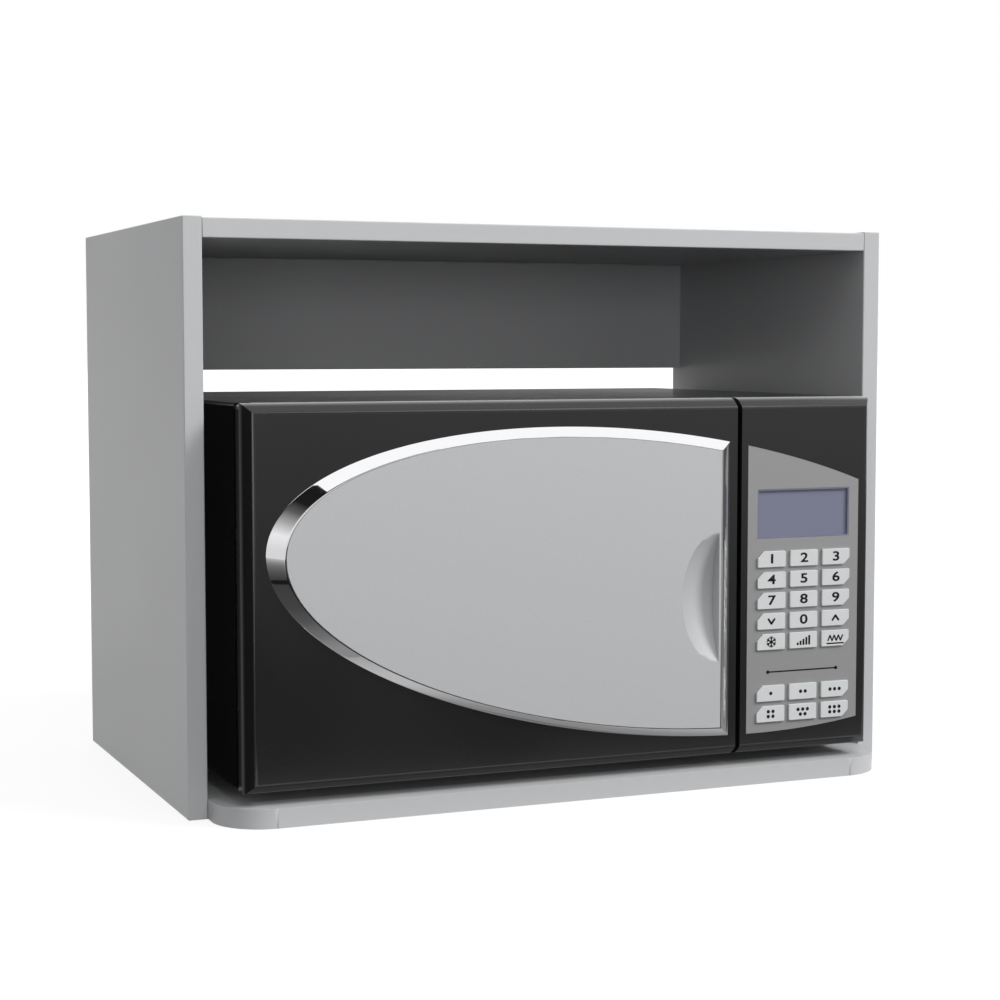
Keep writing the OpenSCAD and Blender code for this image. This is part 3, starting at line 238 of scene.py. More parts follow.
# %% Coated board
def coated_board():
    foil = Finish("coated board", board_grey, coat_weight=0.12, coat_roughness=0.3)
    slow = foil.noise(scale=6, detail=3)
    peel = foil.noise(scale=420, detail=4)
    speck = foil.noise(scale=1600, detail=1)
    tone = foil.blend(slow, times(board_grey, 0.965), times(board_grey, 1.02))
    rare_specks = speck > 0.66
    tone = foil.blend(rare_specks * 0.25, tone, times(board_grey, 0.9))
    foil.set(base_color=tone, roughness=0.4 + slow * 0.12)
    foil.set(normal=foil.bump(peel + slow * 0.5, depth=0.05 * mm, strength=0.35))
    return foil.material


board = coated_board()
print("made", board.name)


# %% [markdown]
# ## Black mouldings and black paint
# The oven's front is moulded in black plastic with a fine spark-eroded grain, which spreads
# a lamp into a soft band. The wrap behind it is sheet steel in a glossy baked powder paint,
# whose drops show as small hills. Both are nearly black: what is seen is mostly gloss. The
# cover of the groove inside the door is the same plastic, left dull.


# %% Black mouldings
def grained_black(name, colour, rough, grain, depth, shine=0.5):
    skin = Finish(name, colour, specular_ior_level=shine)
    pores = skin.noise(grain, detail=5)
    wear = skin.noise(scale=9, detail=3)
    tone = skin.blend(wear, times(colour, 0.85), times(colour, 1.2))
    skin.set(base_color=tone, roughness=rough + wear * 0.08)
    skin.set(normal=skin.bump(pores, depth=depth, strength=0.4))
    return skin.material


black_plastic = grained_black("black moulding", screen(24), rough=0.24, grain=2600,
                              depth=0.008 * mm)
black_paint = grained_black("black powder paint", screen(10), rough=0.13, grain=900,
                            depth=0.006 * mm, shine=0.3)
dull_plastic = grained_black("dull plastic", screen(20), rough=0.5, grain=1500, depth=0.02 * mm)
print("made", black_plastic.name, black_paint.name, dull_plastic.name)

# %% [markdown]
# ## Rubber
# Feet and cord gland are matte rubber with a dull bloom, lighter in the hollows where
# nothing rubs it off.


# %% Rubber
def moulded_rubber():
    dull = screen(38, 38, 37)
    rubber = Finish("moulded rubber", dull, specular_ior_level=0.3)
    bloom = rubber.noise(scale=60, detail=4)
    grain = rubber.noise(scale=1200, detail=2)
    rubber.set(base_color=rubber.blend(bloom, dull, screen(56, 55, 53)))
    rubber.set(roughness=0.7 + bloom * 0.15)
    rubber.set(normal=rubber.bump(grain, depth=0.03 * mm, strength=0.5))
    return rubber.material


rubber = moulded_rubber()
print("made", rubber.name)

# %% [markdown]
# ## Silver lacquer
# The door panel and the fascia are plastic, sprayed with lacquer that holds aluminium
# flakes. Each flake lies at its own angle, so close up the surface sparkles, and from afar
# it is an even satin grey. Cells give each flake its own tone and tilt.


# %% Silver lacquer
def flake_lacquer(name, colour, metal, rough):
    lacquer = Finish(name, colour, metallic=metal, coat_weight=0.15, coat_roughness=0.25)
    flake = lacquer.cells(scale=2400, output="Color")
    grey = lacquer.node("RGBToBW", None, [flake])
    drift = lacquer.noise(scale=7, detail=2)
    tone = lacquer.blend(grey, times(colour, 0.93), times(colour, 1.05))
    tone = lacquer.blend(drift * 0.3, tone, times(colour, 0.97))
    lacquer.set(base_color=tone, roughness=rough + grey * 0.06)
    lacquer.set(normal=lacquer.bump(grey, depth=0.004 * mm, strength=0.35))
    return lacquer.material


door_silver = flake_lacquer("door silver", screen(196, 197, 199), metal=0.25, rough=0.42)
fascia_silver = flake_lacquer("fascia silver", screen(155), metal=0.3, rough=0.4)
print("made", door_silver.name, "and", fascia_silver.name)

# %% [markdown]
# ## Bright plating
# The rim is plated plastic: a mirror, but a soft one, with a long, slow waviness from the
# moulding under it. A perfect mirror would look drawn rather than moulded.


# %% Bright plating
def bright_plating():
    bright = screen(250, 250, 252)
    plating = Finish("bright plating", bright, metallic=1.0)
    wave = plating.noise(scale=26, detail=1)
    haze = plating.noise(scale=180, detail=3)
    plating.set(roughness=0.02 + haze * 0.03)
    plating.set(normal=plating.bump(wave, depth=0.25 * mm, strength=0.06))
    plating.set(base_color=plating.blend(haze, bright, times(bright, 0.97)))
    return plating.material


plating = bright_plating()
print("made", plating.name)

# %% [markdown]
# ## Plated and galvanised steel
# Screws, cams and hinge plates are zinc-plated: fine brush lines under a dull shine. The
# base and the rear plate are galvanised sheet, whose zinc froze in crystals of many greys.


# %% Steel
def zinc_plated():
    zinc = screen(186, 188, 190)
    steel = Finish("zinc plating", zinc, metallic=1.0)
    lines = steel.noise(scale=90, detail=4, space=steel.stretched(1, 14, 14))
    dull = steel.noise(scale=40, detail=3)
    steel.set(base_color=steel.blend(dull, times(zinc, 0.82), zinc))
    steel.set(roughness=0.28 + lines * 0.2)
    steel.set(normal=steel.bump(lines, depth=0.02 * mm, strength=0.3))
    return steel.material


def galvanised(name, colour, crystal):
    sheet = Finish(name, colour, metallic=0.85)
    tint = sheet.node("RGBToBW", None, [sheet.cells(scale=crystal, output="Color")])
    fine = sheet.noise(scale=500, detail=3)
    tone = sheet.blend(tint, times(colour, 0.72), times(colour, 1.12))
    sheet.set(base_color=tone, roughness=0.34 + tint * 0.18)
    sheet.set(normal=sheet.bump(fine, depth=0.015 * mm, strength=0.3))
    return sheet.material


zinc = zinc_plated()
galvanised_sheet = galvanised("galvanised sheet", screen(160, 162, 164), crystal=130)
works_steel = galvanised("works steel", screen(150, 151, 152), crystal=420)
print("made", zinc.name, galvanised_sheet.name, works_steel.name)

# %% [markdown]
# ## Enamel inside the oven
# The cooking space is sprayed grey enamel with fine dark specks, wiped often, so it is
# glossier in patches. The door's inner plate has a darker, plainer coat.


# %% Enamel
def speckled_enamel(name, colour, specks):
    enamel = Finish(name, colour, coat_weight=0.3, coat_roughness=0.15)
    specks_apart = enamel.cells(scale=700)
    wiped = enamel.noise(scale=12, detail=3)
    tone = enamel.blend((specks_apart < 0.16) * specks, colour, times(colour, 0.3))
    enamel.set(base_color=tone, roughness=0.34 + wiped * 0.14)
    drops = enamel.noise(scale=350, detail=3)
    enamel.set(normal=enamel.bump(drops, depth=0.03 * mm, strength=0.3))
    return enamel.material


oven_enamel = speckled_enamel("oven enamel", screen(170, 171, 170), specks=0.7)
door_enamel = speckled_enamel("door enamel", screen(118, 119, 120), specks=0.35)
print("made", oven_enamel.name, "and", door_enamel.name)

# %% [markdown]
# ## Plain plastics
# Keys, nylon wheels and hooks are moulded in plain colours. Nylon lets some light in, so
# its edges glow a little; the keys have a fine grain and a skin polished by fingers.


# %% Plain plastics
def key_cap():
    pale = screen(206, 208, 209)
    cap = Finish("key cap", pale, specular_ior_level=0.5)
    grain = cap.noise(scale=2200, detail=3)
    touch = cap.noise(scale=90, detail=2)
    cap.set(base_color=cap.blend(touch, times(pale, 0.95), pale))
    cap.set(roughness=0.36 + touch * 0.14)
    cap.set(normal=cap.bump(grain, depth=0.01 * mm, strength=0.3))
    return cap.material


def nylon_moulding():
    milky = screen(226, 224, 214)
    nylon = Finish("nylon", milky, subsurface_weight=0.12, subsurface_scale=2 * mm)
    cloud = nylon.noise(scale=70, detail=3)
    nylon.set(base_color=nylon.blend(cloud, times(milky, 0.93), milky))
    nylon.set(roughness=0.38 + cloud * 0.12)
    nylon.set(normal=nylon.bump(cloud, depth=0.04 * mm, strength=0.2))
    return nylon.material


key_plastic = key_cap()
nylon = nylon_moulding()
print("made", key_plastic.name, "and", nylon.name)

# %% [markdown]
# ## Display, print and circuit board
# The display is a tinted window over a dark cell; unlit, it is an even bluish grey with a
# faint weave. Print on the keys is matte black ink. The circuit board is green resist with
# lighter tracks: straight bands from a stretched noise.


# %% Display, print and circuit board
def display_window():
    tinted = screen(115, 117, 138)
    window = Finish("display window", tinted, coat_weight=0.35, coat_roughness=0.08)
    weave = window.noise(scale=3000, detail=1)
    cloud = window.noise(scale=20, detail=2)
    window.set(base_color=window.blend(cloud, times(tinted, 0.96), times(tinted, 1.03)))
    window.set(roughness=0.3 + weave * 0.06)
    return window.material


def key_ink():
    black = screen(10, 10, 11)
    ink = Finish("key ink", black, specular_ior_level=0.35)
    patch = ink.noise(scale=800, detail=2)
    ink.set(base_color=ink.blend(patch, black, screen(18, 18, 19)), roughness=0.5 + patch * 0.15)
    return ink.material


def circuit_board():
    resist = screen(30, 92, 62)
    laminate = Finish("circuit board", resist, coat_weight=0.3, coat_roughness=0.2)
    along = laminate.noise(scale=160, detail=0, space=laminate.stretched(0.15, 1, 1.6))
    across = laminate.noise(scale=160, detail=0, space=laminate.stretched(1.6, 1, 0.15))
    track = (along > 0.56) * (across < 0.62)
    laminate.set(base_color=laminate.blend(track, resist, screen(62, 128, 88)))
    laminate.set(roughness=0.35 + track * 0.1)
    laminate.set(normal=laminate.bump(track, depth=0.03 * mm, strength=0.4))
    return laminate.material


window = display_window()
ink = key_ink()
laminate = circuit_board()
print("made", window.name, ink.name, laminate.name)

# %% [markdown]
# ## Glass, mica and beech
# The tray is pressed clear glass, faintly green. Mica is a brown-grey sheet of flakes. The
# dowels are turned beech with short flecks along the grain; they run in X.


# %% Glass, mica and beech
def tray_glass():
    clear = screen(236, 246, 242)
    glass = Finish("tray glass", clear, transmission_weight=1.0, ior=1.5)
    wave = glass.noise(scale=45, detail=1)
    glass.set(roughness=0.03 + wave * 0.02)
    glass.set(normal=glass.bump(wave, depth=0.2 * mm, strength=0.15))
    return glass.material


def mica_sheet():
    dun = screen(178, 166, 140)
    mica = Finish("mica sheet", dun, coat_weight=0.2, coat_roughness=0.3)
    flake = mica.node("RGBToBW", None, [mica.cells(scale=160, output="Color")])
    mica.set(base_color=mica.blend(flake, times(dun, 0.72), times(dun, 1.12)))
    mica.set(roughness=0.4 + flake * 0.2)
    mica.set(normal=mica.bump(flake, depth=0.05 * mm, strength=0.3))
    return mica.material


def turned_beech():
    pale = screen(208, 172, 126)
    beech = Finish("beech", pale)
    grain = beech.noise(scale=220, detail=4, space=beech.stretched(0.12, 1, 1))
    beech.set(base_color=beech.blend(grain, screen(170, 128, 84), pale))
    beech.set(roughness=0.55 + grain * 0.15)
    beech.set(normal=beech.bump(grain, depth=0.06 * mm, strength=0.4))
    return beech.material


glass = tray_glass()
mica = mica_sheet()
beech = turned_beech()
print("made", glass.name, mica.name, beech.name)

# %% [markdown]
# ## Dressing the solids
# Each solid of the frame keeps its shape and takes its finish. Real edges are never
# knife-sharp: a small radius catches the lamp as a thin line. The radius is cut by a Bevel
# modifier, on the long edges only, so that bores stay round. Short nodes of geometry mark
# those edges and drop the solid's own normals, and Weighted Normal keeps flat faces flat.


# %% Edge marking
def edge_marker():
    """Geometry nodes: smooth shading below 30 degrees, and a bevel mark on long sharp edges."""
    sharp_from = math.radians(30)
    group = bpy.data.node_groups.new("mark long edges", "GeometryNodeTree")
    group.interface.new_socket("Geometry", in_out="INPUT", socket_type="NodeSocketGeometry")
    shortest = group.interface.new_socket("Shortest", in_out="INPUT",
                                          socket_type="NodeSocketFloat")
    shortest.default_value = 3 * mm
    group.interface.new_socket("Geometry", in_out="OUTPUT", socket_type="NodeSocketGeometry")

    def add(kind, settings=None, inputs=None):
        made = group.nodes.new(kind)
        for name, value in (settings or {}).items():
            setattr(made, name, value)
        for key, value in (inputs or {}).items():
            if isinstance(value, bpy.types.NodeSocket):
                group.links.new(value, made.inputs[key])
            else:
                made.inputs[key].default_value = value
        return made

    start = add("NodeGroupInput")
    drop = add("GeometryNodeRemoveAttribute", None, {0: start.outputs[0], "Name": "custom_normal"})
    angle = add("GeometryNodeInputMeshEdgeAngle")
    sharp = add("FunctionNodeCompare", {"operation": "GREATER_THAN"},
                {0: angle.outputs[0], 1: sharp_from})
    ends = add("GeometryNodeInputMeshEdgeVertices")
    span = add("ShaderNodeVectorMath", {"operation": "DISTANCE"},
               {0: ends.outputs[2], 1: ends.outputs[3]})
    long = add("FunctionNodeCompare", {"operation": "GREATER_THAN"},
               {0: span.outputs["Value"], 1: start.outputs[1]})
    both = add("FunctionNodeBooleanMath", {"operation": "AND"},
               {0: sharp.outputs[0], 1: long.outputs[0]})
    faces = add("GeometryNodeSetShadeSmooth", {"domain": "FACE"},
                {0: drop.outputs[0], "Shade Smooth": True})
    lines = add("GeometryNodeSetShadeSmooth", {"domain": "EDGE"},
                {0: faces.outputs[0], 1: sharp.outputs[0], 2: False})
    mark = add("GeometryNodeStoreNamedAttribute", {"data_type": "FLOAT", "domain": "EDGE"},
               {0: lines.outputs[0], "Name": "bevel_weight_edge", "Value": both.outputs[0]})
    add("NodeGroupOutput", None, {0: mark.outputs[0]})
    return group


marker = edge_marker()
print("made the edge marker with", len(marker.nodes), "nodes")


# %% Softening
def soften(piece, radius, shortest=3 * mm, steps=2):
    """Rounds a piece's long edges and shades it smoothly, all by modifiers."""
    weld = piece.modifiers.new("join seams", "WELD")
    weld.merge_threshold = 0.002 * mm  # the solids' seams meet within this
    plain = piece.modifiers.new("plain faces", "DECIMATE")
    plain.decimate_type = "DISSOLVE"
    plain.angle_limit = math.radians(0.2)
    marks = piece.modifiers.new("mark edges", "NODES")
    marks.node_group = marker
    marks[marker.interface.items_tree["Shortest"].identifier] = shortest
    if radius > 0:
        bevel = piece.modifiers.new("edge radius", "BEVEL")
        bevel.width = radius
        bevel.segments = steps
        bevel.limit_method = "WEIGHT"
        bevel.use_clamp_overlap = True
        bevel.miter_outer = "MITER_ARC"
    normals = piece.modifiers.new("flat faces", "WEIGHTED_NORMAL")
    normals.keep_sharp = True
    return piece


def dress(material, radius, *names, shortest=3 * mm):
    """Gives solids their finish, and a radius to their edges longer than the shortest."""
    for name in names:
        piece = nodes[name]
        piece.material_slots[0].material = material
        soften(piece, radius, shortest)
    print(f"{material.name}: {len(names)} solids, edge radius {radius / mm:.2f} mm")


# %% [markdown]
# ## The cabinet and the hidden works
# Boards have the largest radius, as their foil is wrapped or ironed on; sheet metal has
# hardly any; mouldings lie between.

# %% Dressing the cabinet
dress(board, 0.8 * mm, "left_side", "right_side", "top_board", "bottom_board", "back_rail",
      shortest=13 * mm)
dress(beech, 0.5 * mm, "dowels")
dress(zinc, 0.15 * mm, "cam_fittings", "screws", "hanger_plates", "hinge_plates")

# %% Dressing the oven body
dress(black_paint, 0.0, "oven_casing")
dress(galvanised_sheet, 0.0, "oven_base", "rear_plate", "fan_motor")
dress(oven_enamel, 0.0, "cavity")
dress(door_enamel, 0.0, "choke_plate")
dress(rubber, 0.4 * mm, "oven_feet", "cord_gland")
dress(works_steel, 0.3 * mm, "magnetron", "power_supply", "turntable_motor")
dress(laminate, 0.2 * mm, "control_board")
dress(mica, 0.0, "mica_cover")
dress(glass, 0.0, "glass_tray")
dress(nylon, 0.3 * mm, "latch_block", "latch_hooks", "fan", "coupler", "roller_ring",
      "roller_1", "roller_2", "roller_3")

# %% Dressing the front
dress(black_plastic, 0.0, "door_frame", "control_bezel")
dress(dull_plastic, 0.0, "door_liner")
dress(door_silver, 0.0, "door_panel")
dress(fascia_silver, 0.15 * mm, "fascia", shortest=2 * mm)
dress(window, 0.0, "display")
dress(key_plastic, 0.45 * mm, *keys, shortest=0.1 * mm)

# %% [markdown]
# ## The bright rim
# The rim follows a leaning ellipse cut off by a straight edge. Its outer slope rises 6 mm
# to a narrow land, and every slope aims at one point, as a mould drawn straight off would
# leave it. A mirror shows each flat of a coarse outline, so the rim is made again here: the
# ellipse is sampled by its formula, and a small section with rounded corners runs round it.

# %% The rim's outline
# The shares of the oven's width and height are those that the solids use.
half_shares = (0.6, 0.4167)
middle_shares = (0.626, 0.494)
aim_share = 0.184
aim_lift = 1.5 * mm
oven_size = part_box("control_bezel")[1] - door_low
sweep_half = (oven_size.x * half_shares[0], oven_size.z * half_shares[1])
sweep_lean = math.radians(-7)
sweep_mid = Vector((door_low.x + oven_size.x * middle_shares[0],
                    door_low.z + oven_size.z * middle_shares[1]))
rim_aim = sweep_mid + Vector((-oven_size.x * aim_share, aim_lift))
rim_right = rim_high.x
rim_rise = rim_high.y - rim_low.y
rim_slope_in = 9.5 * mm
rim_land = 0.8 * mm


def sweep_point(turn):
    """The leaning ellipse at an angle of its own circle."""
    along = sweep_half[0] * math.cos(turn)
    up = sweep_half[1] * math.sin(turn)
    cos, sin = math.cos(sweep_lean), math.sin(sweep_lean)
    return sweep_mid + Vector((along * cos - up * sin, along * sin + up * cos))


def meeting(side, x, halvings=60):
    """The angle at which the upper (side = 1) or lower (-1) half crosses a vertical line."""
    start, end = 0.0, math.pi
    for _ in range(halvings):
        between = (start + end) / 2
        if sweep_point(side * between).x > x:
            start = between
        else:
            end = between
    return start


def rim_outline(steps):
    """Points of the ellipse left of the straight edge, from its top corner to its foot."""
    top = meeting(1, rim_right)
    foot = 2 * math.pi - meeting(-1, rim_right)
    return [sweep_point(top + (foot - top) * i / steps) for i in range(steps + 1)]


outline = rim_outline(steps=220)
rim_corners = [round(outline[i].y, 4) for i in (0, -1)]
print(f"rim outline: {len(outline)} points, corners at z =", rim_corners)


# %% The rim's section
def rim_section(crest):
    """Steps inwards and outwards from the door's face, with a crest rounded by some length."""
    lip = (0.25 * mm, 0.3 * mm)
    corner = 0.2 * mm
    parts = 5
    inner = rim_slope_in + rim_land
    slope = rim_slope_in - crest
    return [
        (0.0, 0.0),
        lip,
        *[(slope * i / parts, rim_rise * slope / rim_slope_in * i / parts)
          for i in range(1, parts)],
        (rim_slope_in - crest, rim_rise * (1 - crest / rim_slope_in)),
        (rim_slope_in - crest * 0.35, rim_rise - crest * 0.16),
        (rim_slope_in + crest * 0.35, rim_rise),
        (inner - corner, rim_rise),
        (inner, rim_rise - corner),
        (inner, 0.0),
    ]


def make_mesh(name, points, faces, material):
    """A new object from its points and faces, in one finish."""
    mesh = bpy.data.meshes.new(name)
    mesh.from_pydata(points, [], faces)
    mesh.update()
    piece = bpy.data.objects.new(name, mesh)
    bpy.context.scene.collection.objects.link(piece)
    mesh.materials.append(material)
    return piece


def make_rim():
    """Runs the section round the outline; each step inwards shrinks it towards the aim."""
    section = rim_section(crest=0.7 * mm)
    belly_depth = 1.2 * mm
    reach = rim_right - rim_aim.x
    count = len(outline)
    points = []
    for step, rise in section:
        share = 1 - step / reach
        belly = belly_depth * rise * (rim_rise - rise) / rim_rise ** 2
        for i, place in enumerate(outline):
            spot = rim_aim + (place - rim_aim) * share
            bulge = belly if i in (0, count - 1) else 0.0
            points.append((spot.x + bulge, front - rise, spot.y))
    faces = []
    for row in range(len(section)):
        after = (row + 1) % len(section)
        for i in range(count):
            j = (i + 1) % count
            faces.append((row * count + i, row * count + j,
                          after * count + j, after * count + i))
    return make_mesh("bright_rim", points, faces, plating)


rim = make_rim()
soften(rim, 0.0)
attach(rim, "oven_door")
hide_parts("door_rim")
print("bright rim:", len(rim.data.polygons), "faces")

# %% [markdown]
# ## Key legends
# The keys carry pad-printed signs. The number keys have plain numbers. The two arrow keys
# have chevrons, three keys have a snowflake, rising bars and a heating coil, and the
# programme keys have one to six dots. Numbers are text objects in Blender's own font,
# turned to meshes; the signs are flat strips. All stand 0.03 mm proud, as ink does.

# %% Printing
ink_height = 0.03 * mm


def as_mesh(piece):
    """Turns a text or curve object into a mesh object of the same name."""
    bpy.context.view_layer.update()
    mesh = bpy.data.meshes.new_from_object(piece)
    made = bpy.data.objects.new(piece.name + "_print", mesh)
    made.matrix_world = piece.matrix_world
    bpy.context.scene.collection.objects.link(made)
    bpy.data.objects.remove(piece)
    return made


def key_face(name):
    """The middle of a key's front face."""
    low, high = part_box(name)
    return Vector(((low.x + high.x) / 2, low.y, (low.z + high.z) / 2))


def print_number(name, number):
    text = bpy.data.curves.new("sign_" + name, "FONT")
    text.body = number
    text.size = 10.6 * mm
    text.offset = 0.26 * mm  # thickens the strokes
    text.extrude = ink_height
    text.align_x = "CENTER"
    text.align_y = "CENTER"
    piece = bpy.data.objects.new("sign_" + name, text)
    bpy.context.scene.collection.objects.link(piece)
    piece.location = key_face(name)
    piece.rotation_euler = (math.radians(90), 0, 0)
    piece.scale.x = 1.4  # the keys' numbers are wide
    return as_mesh(piece)


def strip(start, end, width, overlap=0.4):
    """Corners of a flat strip between two points, a little longer so that strips join."""
    along = (Vector(end) - Vector(start)).normalized() * width / 2
    side = Vector((-along.y, along.x))
    start = Vector(start) - along * overlap
    end = Vector(end) + along * overlap
    return [start - side, end - side, end + side, start + side]


def dot(centre, radius, corners=16):
    """Corners of a round dot."""
    turns = [2 * math.pi * i / corners for i in range(corners)]
    return [Vector(centre) + Vector((radius * math.cos(t), radius * math.sin(t))) for t in turns]


def print_shapes(name, shapes, centre):
    """Prints flat shapes, drawn in millimetres from a centre on the surface."""
    points, faces = [], []
    for corners in shapes:
        base = len(points)
        count = len(corners)
        for depth in (ink_height, -ink_height):
            points += [(centre.x + p[0] * mm, centre.y - depth, centre.z + p[1] * mm)
                       for p in corners]
        faces.append(tuple(range(base, base + count)))
        faces.append(tuple(reversed(range(base + count, base + 2 * count))))
        for i in range(count):
            j = (i + 1) % count
            faces.append((base + i, base + count + i, base + count + j, base + j))
    return make_mesh(name, points, faces, ink)


print("printing helpers are ready")


# %% The signs, in millimetres
def chevron(way):
    """Two strips that meet in a tip, up (1) or down (-1)."""
    reach, rise, width = 3, 2, 1.8
    tip = (0, rise * way)
    return [strip((side * reach, -rise * way), tip, width) for side in (-1, 1)]


def snowflake():
    """Three crossing arms with a fork near each end."""
    arm, arm_width = 4.4, 1.1
    knee, fork_end, fork_side, fork_width = 2.4, 3.9, 1.5, 0.85
    arms = []
    for turn in (30, 90, 150):
        way = Vector((math.cos(math.radians(turn)), math.sin(math.radians(turn))))
        side = Vector((-way.y, way.x))
        arms.append(strip(way * -arm, way * arm, arm_width))
        for end in (-1, 1):
            for lean in (-1, 1):
                tip = way * fork_end * end + side * fork_side * lean
                arms.append(strip(way * knee * end, tip, fork_width))
    return arms


def rising_bars():
    """Five bars, each higher than the one before."""
    left, apart, foot = -5.4, 2.7, -3.6
    lowest, growth, width = -2.2, 1.4, 1.8
    return [strip((left + apart * i, foot), (left + apart * i, lowest + growth * i), width)
            for i in range(5)]


def heating_coil():
    """A zigzag over a straight line."""
    peak, valley, coil_width = 2.4, -2.0, 1.3
    line_half, line_height, line_width = 8, -4.2, 1.2
    turns = [(-7 + 2 * i, peak if i % 2 else valley) for i in range(8)]
    zigzag = [strip(a, b, coil_width) for a, b in zip(turns, turns[1:])]
    return zigzag + [strip((-line_half, line_height), (line_half, line_height), line_width)]


def dots(count):
    """Up to three dots in one row, and more in two."""
    apart, between_rows, radius = 4.4, 4.0, 1.5
    rows = [(count + 1) // 2, count // 2] if count > 3 else [count]
    places = []
    for row, in_row in enumerate(rows):
        height = ((len(rows) - 1) / 2 - row) * between_rows
        places += [((i - (in_row - 1) / 2) * apart, height) for i in range(in_row)]
    return [dot(place, radius) for place in places]


signs = {
    "key_down": chevron(-1),
    "key_up": chevron(1),
    "key_thaw": snowflake(),
    "key_power": rising_bars(),
    "key_grill": heating_coil(),
}
for number in range(1, 7):
    signs[f"key_program_{number}"] = dots(number)

printed = []
for key in keys:
    if key in signs:
        sign = print_shapes("sign_" + key, signs[key], key_face(key))
    else:
        sign = print_number(key, key[-1])
        sign.data.materials.clear()
        sign.data.materials.append(ink)
    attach(sign, "push_" + key)
    printed.append(sign)
print("printed", len(printed), "keys")

# %% [markdown]
# ## The printed rule
# A thin line with a dot at each end parts the programme keys from the number block. It is
# printed on the fascia like the keys' signs, a third of the way from one block to the other.

# %% The printed rule
low_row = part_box("key_program_2")[1].z
high_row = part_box("key_power")[0].z
rule_share = 0.36
rule_middle = Vector((key_face("key_0").x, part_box("fascia")[0].y,
                      low_row + (high_row - low_row) * rule_share))
rule_half, rule_width, rule_dot = 32, 1.2, 1.5
rule_ends = [(-rule_half, 0), (rule_half, 0)]
rule_shapes = [strip(*rule_ends, rule_width), *(dot(end, rule_dot) for end in rule_ends)]
rule = print_shapes("fascia_rule", rule_shapes, rule_middle)
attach(rule, "cabinet")
print(f"rule at z = {rule_middle.z:.4f}")

# %% [markdown]
# ## Floor and backdrop
# The object stands on a pale floor under a white sky. For the camera the floor adds a
# glow to the light that falls on it, so it shows white; near the object the glow is weaker,
# a painted shade in which the object's soft shadow shows. Mirrors and glass see the same white.


# %% Floor and sky
def seen_directly(finish):
    """One for what the camera sees, straight, in a mirror or through glass, and zero elsewhere."""
    path = finish.tree.nodes.new("ShaderNodeLightPath")
    camera, mirror, through = [Wire(finish, path.outputs[f"Is {kind} Ray"])
                               for kind in ("Camera", "Glossy", "Transmission")]
    first = finish.node("Math", {"operation": "MAXIMUM"}, [camera, mirror])
    return finish.node("Math", {"operation": "MAXIMUM"}, [first, through])


def pale_floor(glow, painted_shade_span=(0.5, 3.0)):
    """Glows less near the object, a painted shade round it in which its shadow shows, and fully
    from the span's end.
    """
    paint = Finish("pale floor", screen(104), roughness=0.9)
    far = paint.node("VectorMath", {"operation": "LENGTH"}, [paint.place()], "Value")
    # painted shade: the glow is weaker near the object, so the floor round it is darker
    tone = paint.node("MapRange", None, {"Value": far, "From Min": painted_shade_span[0], "From Max": painted_shade_span[1],
                                         "To Min": glow, "To Max": 1.0})
    light = paint.node("Emission", None, {"Color": tone, "Strength": seen_directly(paint)})
    both = paint.node("AddShader", None, [Wire(paint, paint.surface.outputs[0]), light])
    paint.tree.links.new(both.socket, paint.tree.nodes["Material Output"].inputs["Surface"])
    return paint.material


def lay_floor(half, glow):
    """A square just under the object's lowest point."""
    z = cad_box[0].z - 0.3 * mm
    corners = [(-half, -half, z), (half, -half, z), (half, half, z), (-half, half, z)]
    return make_mesh("floor", corners, [(0, 1, 2, 3)], pale_floor(glow))


class Sky(Finish):
    """The world, written with the same sums as a finish."""

    def __init__(self, name):
        self.world = bpy.data.worlds.new(name)
        self.world.use_nodes = True
        self.tree = self.world.node_tree
        self.surface = self.tree.nodes["Background"]


def white_sky(ambient):
    """White where it is seen, and a weaker, even light on the object."""
    sky = Sky("white sky")
    sky.set(color=(1, 1, 1, 1), strength=ambient + seen_directly(sky) * (1 - ambient))
    bpy.context.scene.world = sky.world


floor = lay_floor(half=30.0, glow=0.86)
white_sky(ambient=0.47)
print("floor and sky are set")

# %% [markdown]
# ## Soft lamps
# The photograph's light comes from high at the right: it shades the finger pull and leaves
# the left board's front edge in the oven's shadow. So the main lamp hangs there, large and
# far off. Four weaker ones lift the front, the left side and the back. None of them shows
# in the gloss, which would put hard white squares on the black front.


# %% Soft lamps
def soft_lamp(name, place, aim, size, power):
    """A square lamp that lights matt surfaces and is never seen itself."""
    data = bpy.data.lights.new(name, "AREA")
    data.shape = "RECTANGLE"
    data.size, data.size_y = size
    data.energy = power
    lamp = bpy.data.objects.new(name, data)
    lamp.location = place
    lamp.rotation_euler = (Vector(aim) - Vector(place)).to_track_quat("-Z", "Y").to_euler()
    lamp.visible_camera = False
    lamp.visible_glossy = False
    bpy.context.scene.collection.objects.link(lamp)
    return lamp


middle = (cad_box[0] + cad_box[1]) / 2
# For each lamp its place, its width and height, and its power in watts.
soft_lamps = {
    "main lamp": ((5.0, -4.2, 5.3), (3.0, 3.0), 560),
    "high lamp": ((0.3, -3.5, 3.6), (2.0, 1.5), 54),
    "front lamp": ((-0.9, -3.2, 0.5), (2.0, 0.8), 12),
    "side lamp": ((-3.0, -0.8, 0.6), (1.6, 1.2), 2.2),
    "rear lamp": ((0.8, 4.2, 1.4), (2.0, 2.0), 70),
}
for name, (place, size, power) in soft_lamps.items():
    soft_lamp(name, place, middle, size, power)
print("hung", len(soft_lamps), "soft lamps")

# %% [markdown]
# ## Gleams
# The bevelled edges of the black front show as fine light lines. Two narrow lamps close to
# the top and the foot, and two wide ones further off, are there for the gloss alone. Light
# linking keeps them on the front, so the boards beside it stay as the soft lamps make them.


